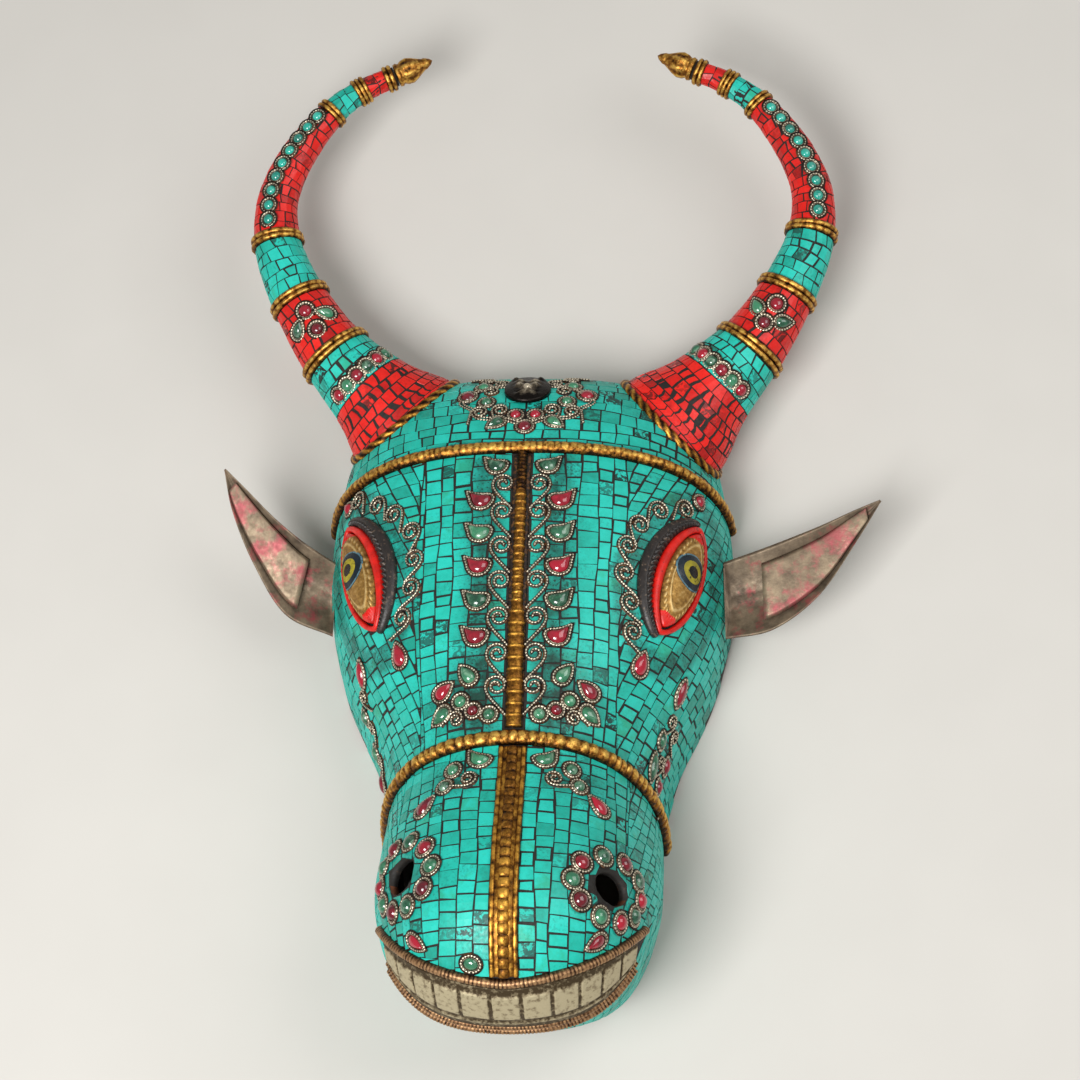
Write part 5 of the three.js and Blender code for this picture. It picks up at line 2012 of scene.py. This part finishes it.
@dataclass
class Ear:
    """Cupped leaf of sheet copper with a flat lining plate."""

    side: int
    edges: dict = field(default_factory=lambda: {
        1: (((99, -33, 38), (122, -27, 45), (146, -19, 50), (164, -12, 54), (178, -7, 57)),
            ((100, -72, 32), (124, -69, 38), (147, -53, 44), (166, -27, 51), (178.6, -7.6, 57))),
        -1: (((-98, -32, 38), (-113, -24, 46), (-128, -13, 53), (-142, 0, 60), (-153, 10, 66)),
             ((-100, -68, 28), (-124, -58, 34), (-140, -34, 44), (-150, -10, 56), (-153.6, 9.6, 66))),
    })
    cup: float = 9.0
    full: float = 30.0
    thick: float = 1.5

    def leaf(self, start: float, end: float, inset: float, level: float | None, lift: float,
             thick: float) -> Place:
        """Closed sheet between the two edges.

        Args:
            start: part of the way out where it starts.
            end: part of the way where it ends.
            inset: how far it stays from both edges, as a share.
            level: where a flat plate lies in the cup, or none for the cup itself.
            lift: height over that.
            thick: thickness of the sheet.
        Returns:
            The function for sheet().
        """
        upper, lower = (Spline(edge) for edge in self.edges[self.side])

        def place(u: Array, v: Array) -> Array:
            """Points over the top and back below."""
            way = start + (end - start) * v
            turn = u * 2
            over = turn <= 1
            part = np.where(over, turn, 2 - turn)
            share = inset + (1 - 2 * inset) * part
            high, low = upper.at(way), lower.at(way)
            width = np.linalg.norm(low - high, axis=1)
            ahead, behind = way + 0.01, way - 0.01
            tangent = unit(upper.at(ahead) - upper.at(behind) + lower.at(ahead) - lower.at(behind))
            face = np.cross(unit(low - high), tangent)
            face = unit(np.where(face[:, 2:] < 0, -face, face))
            depth = np.sin(np.pi * (share if level is None else np.full_like(share, level)))
            sag = self.cup * depth * np.minimum(1, width / self.full)
            rounded = thick / 2 * (1 - np.abs(2 * part - 1) ** 6)
            vein = 0.5 * hump(share, 0.5, 0.05) if level is None else 0.0
            height = lift - sag - thick / 2 + np.where(over, rounded, -rounded) + vein
            return high + (low - high) * share[:, None] + face * height[:, None]
        return place

    def make(self) -> None:
        """Builds the leaf and the plate in it."""
        name = side_name(self.side)
        work = Work()
        work.add(sheet(48, 48, self.leaf(-0.02, 0.995, 0.0, None, 0.0, self.thick)))
        work.finish(f"{name}_ear_leaf", [Finish.EAR], "copper", [f"{name}_ear"])
        plate = Work()
        plate.add(sheet(24, 24, self.leaf(0.2, 0.86, 0.16, 0.16, 2.0, 0.9)))
        plate.finish(f"{name}_ear_plate", [Finish.LINING], "copper", [f"{name}_ear_lining"])


# Crown


@dataclass
class Medallion:
    """Openwork plate at the poll: a small beast's face in relief between scrolls and stones."""

    # On each side: stones by place along and across, whether red, and size; scrolls by place and turn.
    stones: tuple[tuple[float, float, bool, float], ...] = (
        (70, 30.5, True, 8.8), (61, 23, False, 7.6), (76, 20.5, False, 7.2), (87, 5, True, 7.2),
    )
    scrolls: tuple[tuple[float, float, float], ...] = (
        (51, 22, 2.4), (84, 23.5, 1.0), (83, 13, 0.6), (57, 14, 2.6), (66, 19, 1.6),
    )

    def face(self) -> Mesh:
        """Repousse face of a horned beast, of no known pattern."""
        seat = Seat.on_head(66, 0.0, 0.0, 1.0)

        def place(u: Array, v: Array) -> Array:
            """Relief over a round plate."""
            size = np.minimum(v / 0.92, 1)
            angle = u * TURN
            x, y = 12.5 * size * np.cos(angle), 12 * size * np.sin(angle)

            def bump(px: float, py: float, wide: float, tall: float, rise: float) -> Array:
                """Rounded lump on both sides of the face."""
                return rise * hump(x, px, wide) * hump(np.abs(y), py, tall)
            # Brows, eyes, nose and jaws stand up; the mouth and the nostrils are sunk; horns on top.
            high = (1.2 + 1.6 * (1 - size**2) + bump(-4, 4, 1.6, 2.6, 2.0) + bump(-0.5, 4.2, 1.7, 1.8, 2.0)
                    + bump(3.5, 0, 3.2, 2.6, 3.0) + bump(7.6, 2.6, 1.6, 2.6, 1.6)
                    - bump(5.6, 3.4, 0.7, 2.0, 1.0) + bump(-8.5, 6.5, 2.2, 1.8, 1.6)
                    - bump(5.6, 1.5, 0.7, 0.7, 1.6))
            high = np.where(v > 0.92, -0.8, high)
            return np.column_stack([seat.at(x, y, high), np.clip(0.3 * (high - 2.1), 0, 0.9)])
        return sheet(40, 72, place)

    def make(self) -> None:
        """Builds the piece."""
        made = Mount("poll_medallion", "poll_medallion", 53)
        made.metal.add(self.face(), 0)
        for side in (-1, 1):
            for along, across, red, size in self.stones:
                made.set(Gem(Cut.ROUND, size, size, red), Seat.on_head(along, side * across))
            made.set(Gem(Cut.DROP, 10.6, 7.8, False), Seat.on_head(92.5, side * 15, 0.9))
            for along, across, turn in self.scrolls:
                made.scroll(along, side * across, 4.0, turn, 1, 9, -4)
        made.set(Gem(Cut.ROUND, 8.2, 8.2, True), Seat.on_head(95.5, 0.0))
        edge = np.linspace(0, TURN, 120)
        for grow in (0.0, 2.0):
            along = 75 + (16 + grow) * np.cos(edge) * (1 + 0.07 * np.cos(8 * edge))
            across = (31 + grow) * np.sin(edge) * (1 + 0.05 * np.cos(8 * edge))
            made.metal.add(sweep(on_head(along, across), beaded(0.6, 1.6, 0.6), 0.4, 6, loop=True), 0)
        made.finish()
        lip = Mount("middle_lip_gem", "middle_lip_gem", 59)
        lip.set(Gem(Cut.ROUND, 7.6, 8.6, False, 2.0), Seat.on_head(393, -15.0))
        lip.finish()


# Studio


@dataclass
class Studio:
    """Pale floor, soft lights and the camera at the photograph's angle."""

    elevation: float = 70.0
    swing: float = 4.5
    roll: float = 1.0
    distance: float = 1.5
    lens: float = 100.0
    target: tuple[float, float, float] = (-0.0042, -0.0132, 0.065)
    # Name, place in metres, side in metres and watts of each light.
    lamps: tuple[tuple[str, tuple[float, float, float], float, float], ...] = (
        ("key", (-0.45, -0.8, 1.4), 0.7, 27), ("fill", (0.9, 0.2, 1.2), 1.0, 8),
    )

    def floor(self) -> None:
        """The floor that the mask lies on."""
        mesh = bmesh.new()
        bmesh.ops.create_grid(mesh, x_segments=1, y_segments=1, size=4.0)
        bmesh.ops.translate(mesh, verts=mesh.verts, vec=(0, 0, -0.0005))
        data = bpy.data.meshes.new("studio_floor")
        mesh.to_mesh(data)
        mesh.free()
        ground = bpy.data.objects.new("studio_floor", data)
        mix = Recipe("pale_studio_paper")
        base = mix.ramp(mix.grain(60.0, 2), [(0.0, "C6C3BD"), (1.0, "CBC8C2")])
        data.materials.append(mix.done(base, 0.9))
        bpy.context.scene.collection.objects.link(ground)

    def lamp(self, name: str, place: tuple[float, float, float], size: float, watts: float) -> None:
        """Adds a square soft light aimed at the mask."""
        data = bpy.data.lights.new(name, "AREA")
        data.size = size
        data.energy = watts
        lamp = bpy.data.objects.new(name, data)
        lamp.location = place
        lamp.rotation_euler = (Vector(self.target) - Vector(place)).to_track_quat("-Z", "Y").to_euler()
        bpy.context.scene.collection.objects.link(lamp)

    def camera(self) -> None:
        """The camera above the mask."""
        lift, swing, roll = (math.radians(a) for a in (self.elevation, self.swing, self.roll))
        back = Vector((math.sin(lift) * math.sin(swing), -math.cos(lift), math.sin(lift) * math.cos(swing)))
        back.normalize()
        right = Vector((0, 1, 0)).cross(back).normalized()
        up = back.cross(right)
        turned_right = right * math.cos(roll) + up * math.sin(roll)
        turned_up = up * math.cos(roll) - right * math.sin(roll)
        data = bpy.data.cameras.new("camera")
        data.lens = self.lens
        data.sensor_width = 36.0
        camera = bpy.data.objects.new("camera", data)
        turn = Matrix((turned_right, turned_up, back)).transposed().to_4x4()
        camera.matrix_world = Matrix.Translation(Vector(self.target) + back * self.distance) @ turn
        bpy.context.scene.collection.objects.link(camera)
        bpy.context.scene.camera = camera

    def make(self) -> None:
        """Sets up the studio."""
        bpy.context.scene.view_settings.view_transform = "Standard"
        world = bpy.data.worlds.new("studio")
        bpy.context.scene.world = world
        world.use_nodes = True
        world.node_tree.nodes["Background"].inputs["Color"].default_value = colour("F2F0EC")
        world.node_tree.nodes["Background"].inputs["Strength"].default_value = 0.35
        self.floor()
        for name, place, size, watts in self.lamps:
            self.lamp(name, place, size, watts)
        self.camera()


def main() -> None:
    """Builds the mask and its studio."""
    logging.basicConfig(level=logging.INFO)
    Studio().make()
    outside = HeadShell().make()
    FaceMosaic().make()
    Bands().make()
    Medallion().make()
    for side in (-1, 1):
        GemWork(side).make()
        EyeWork(side).make()
        Horn(side, outside).make()
        Ear(side).make()


if __name__ == "__main__":
    main()
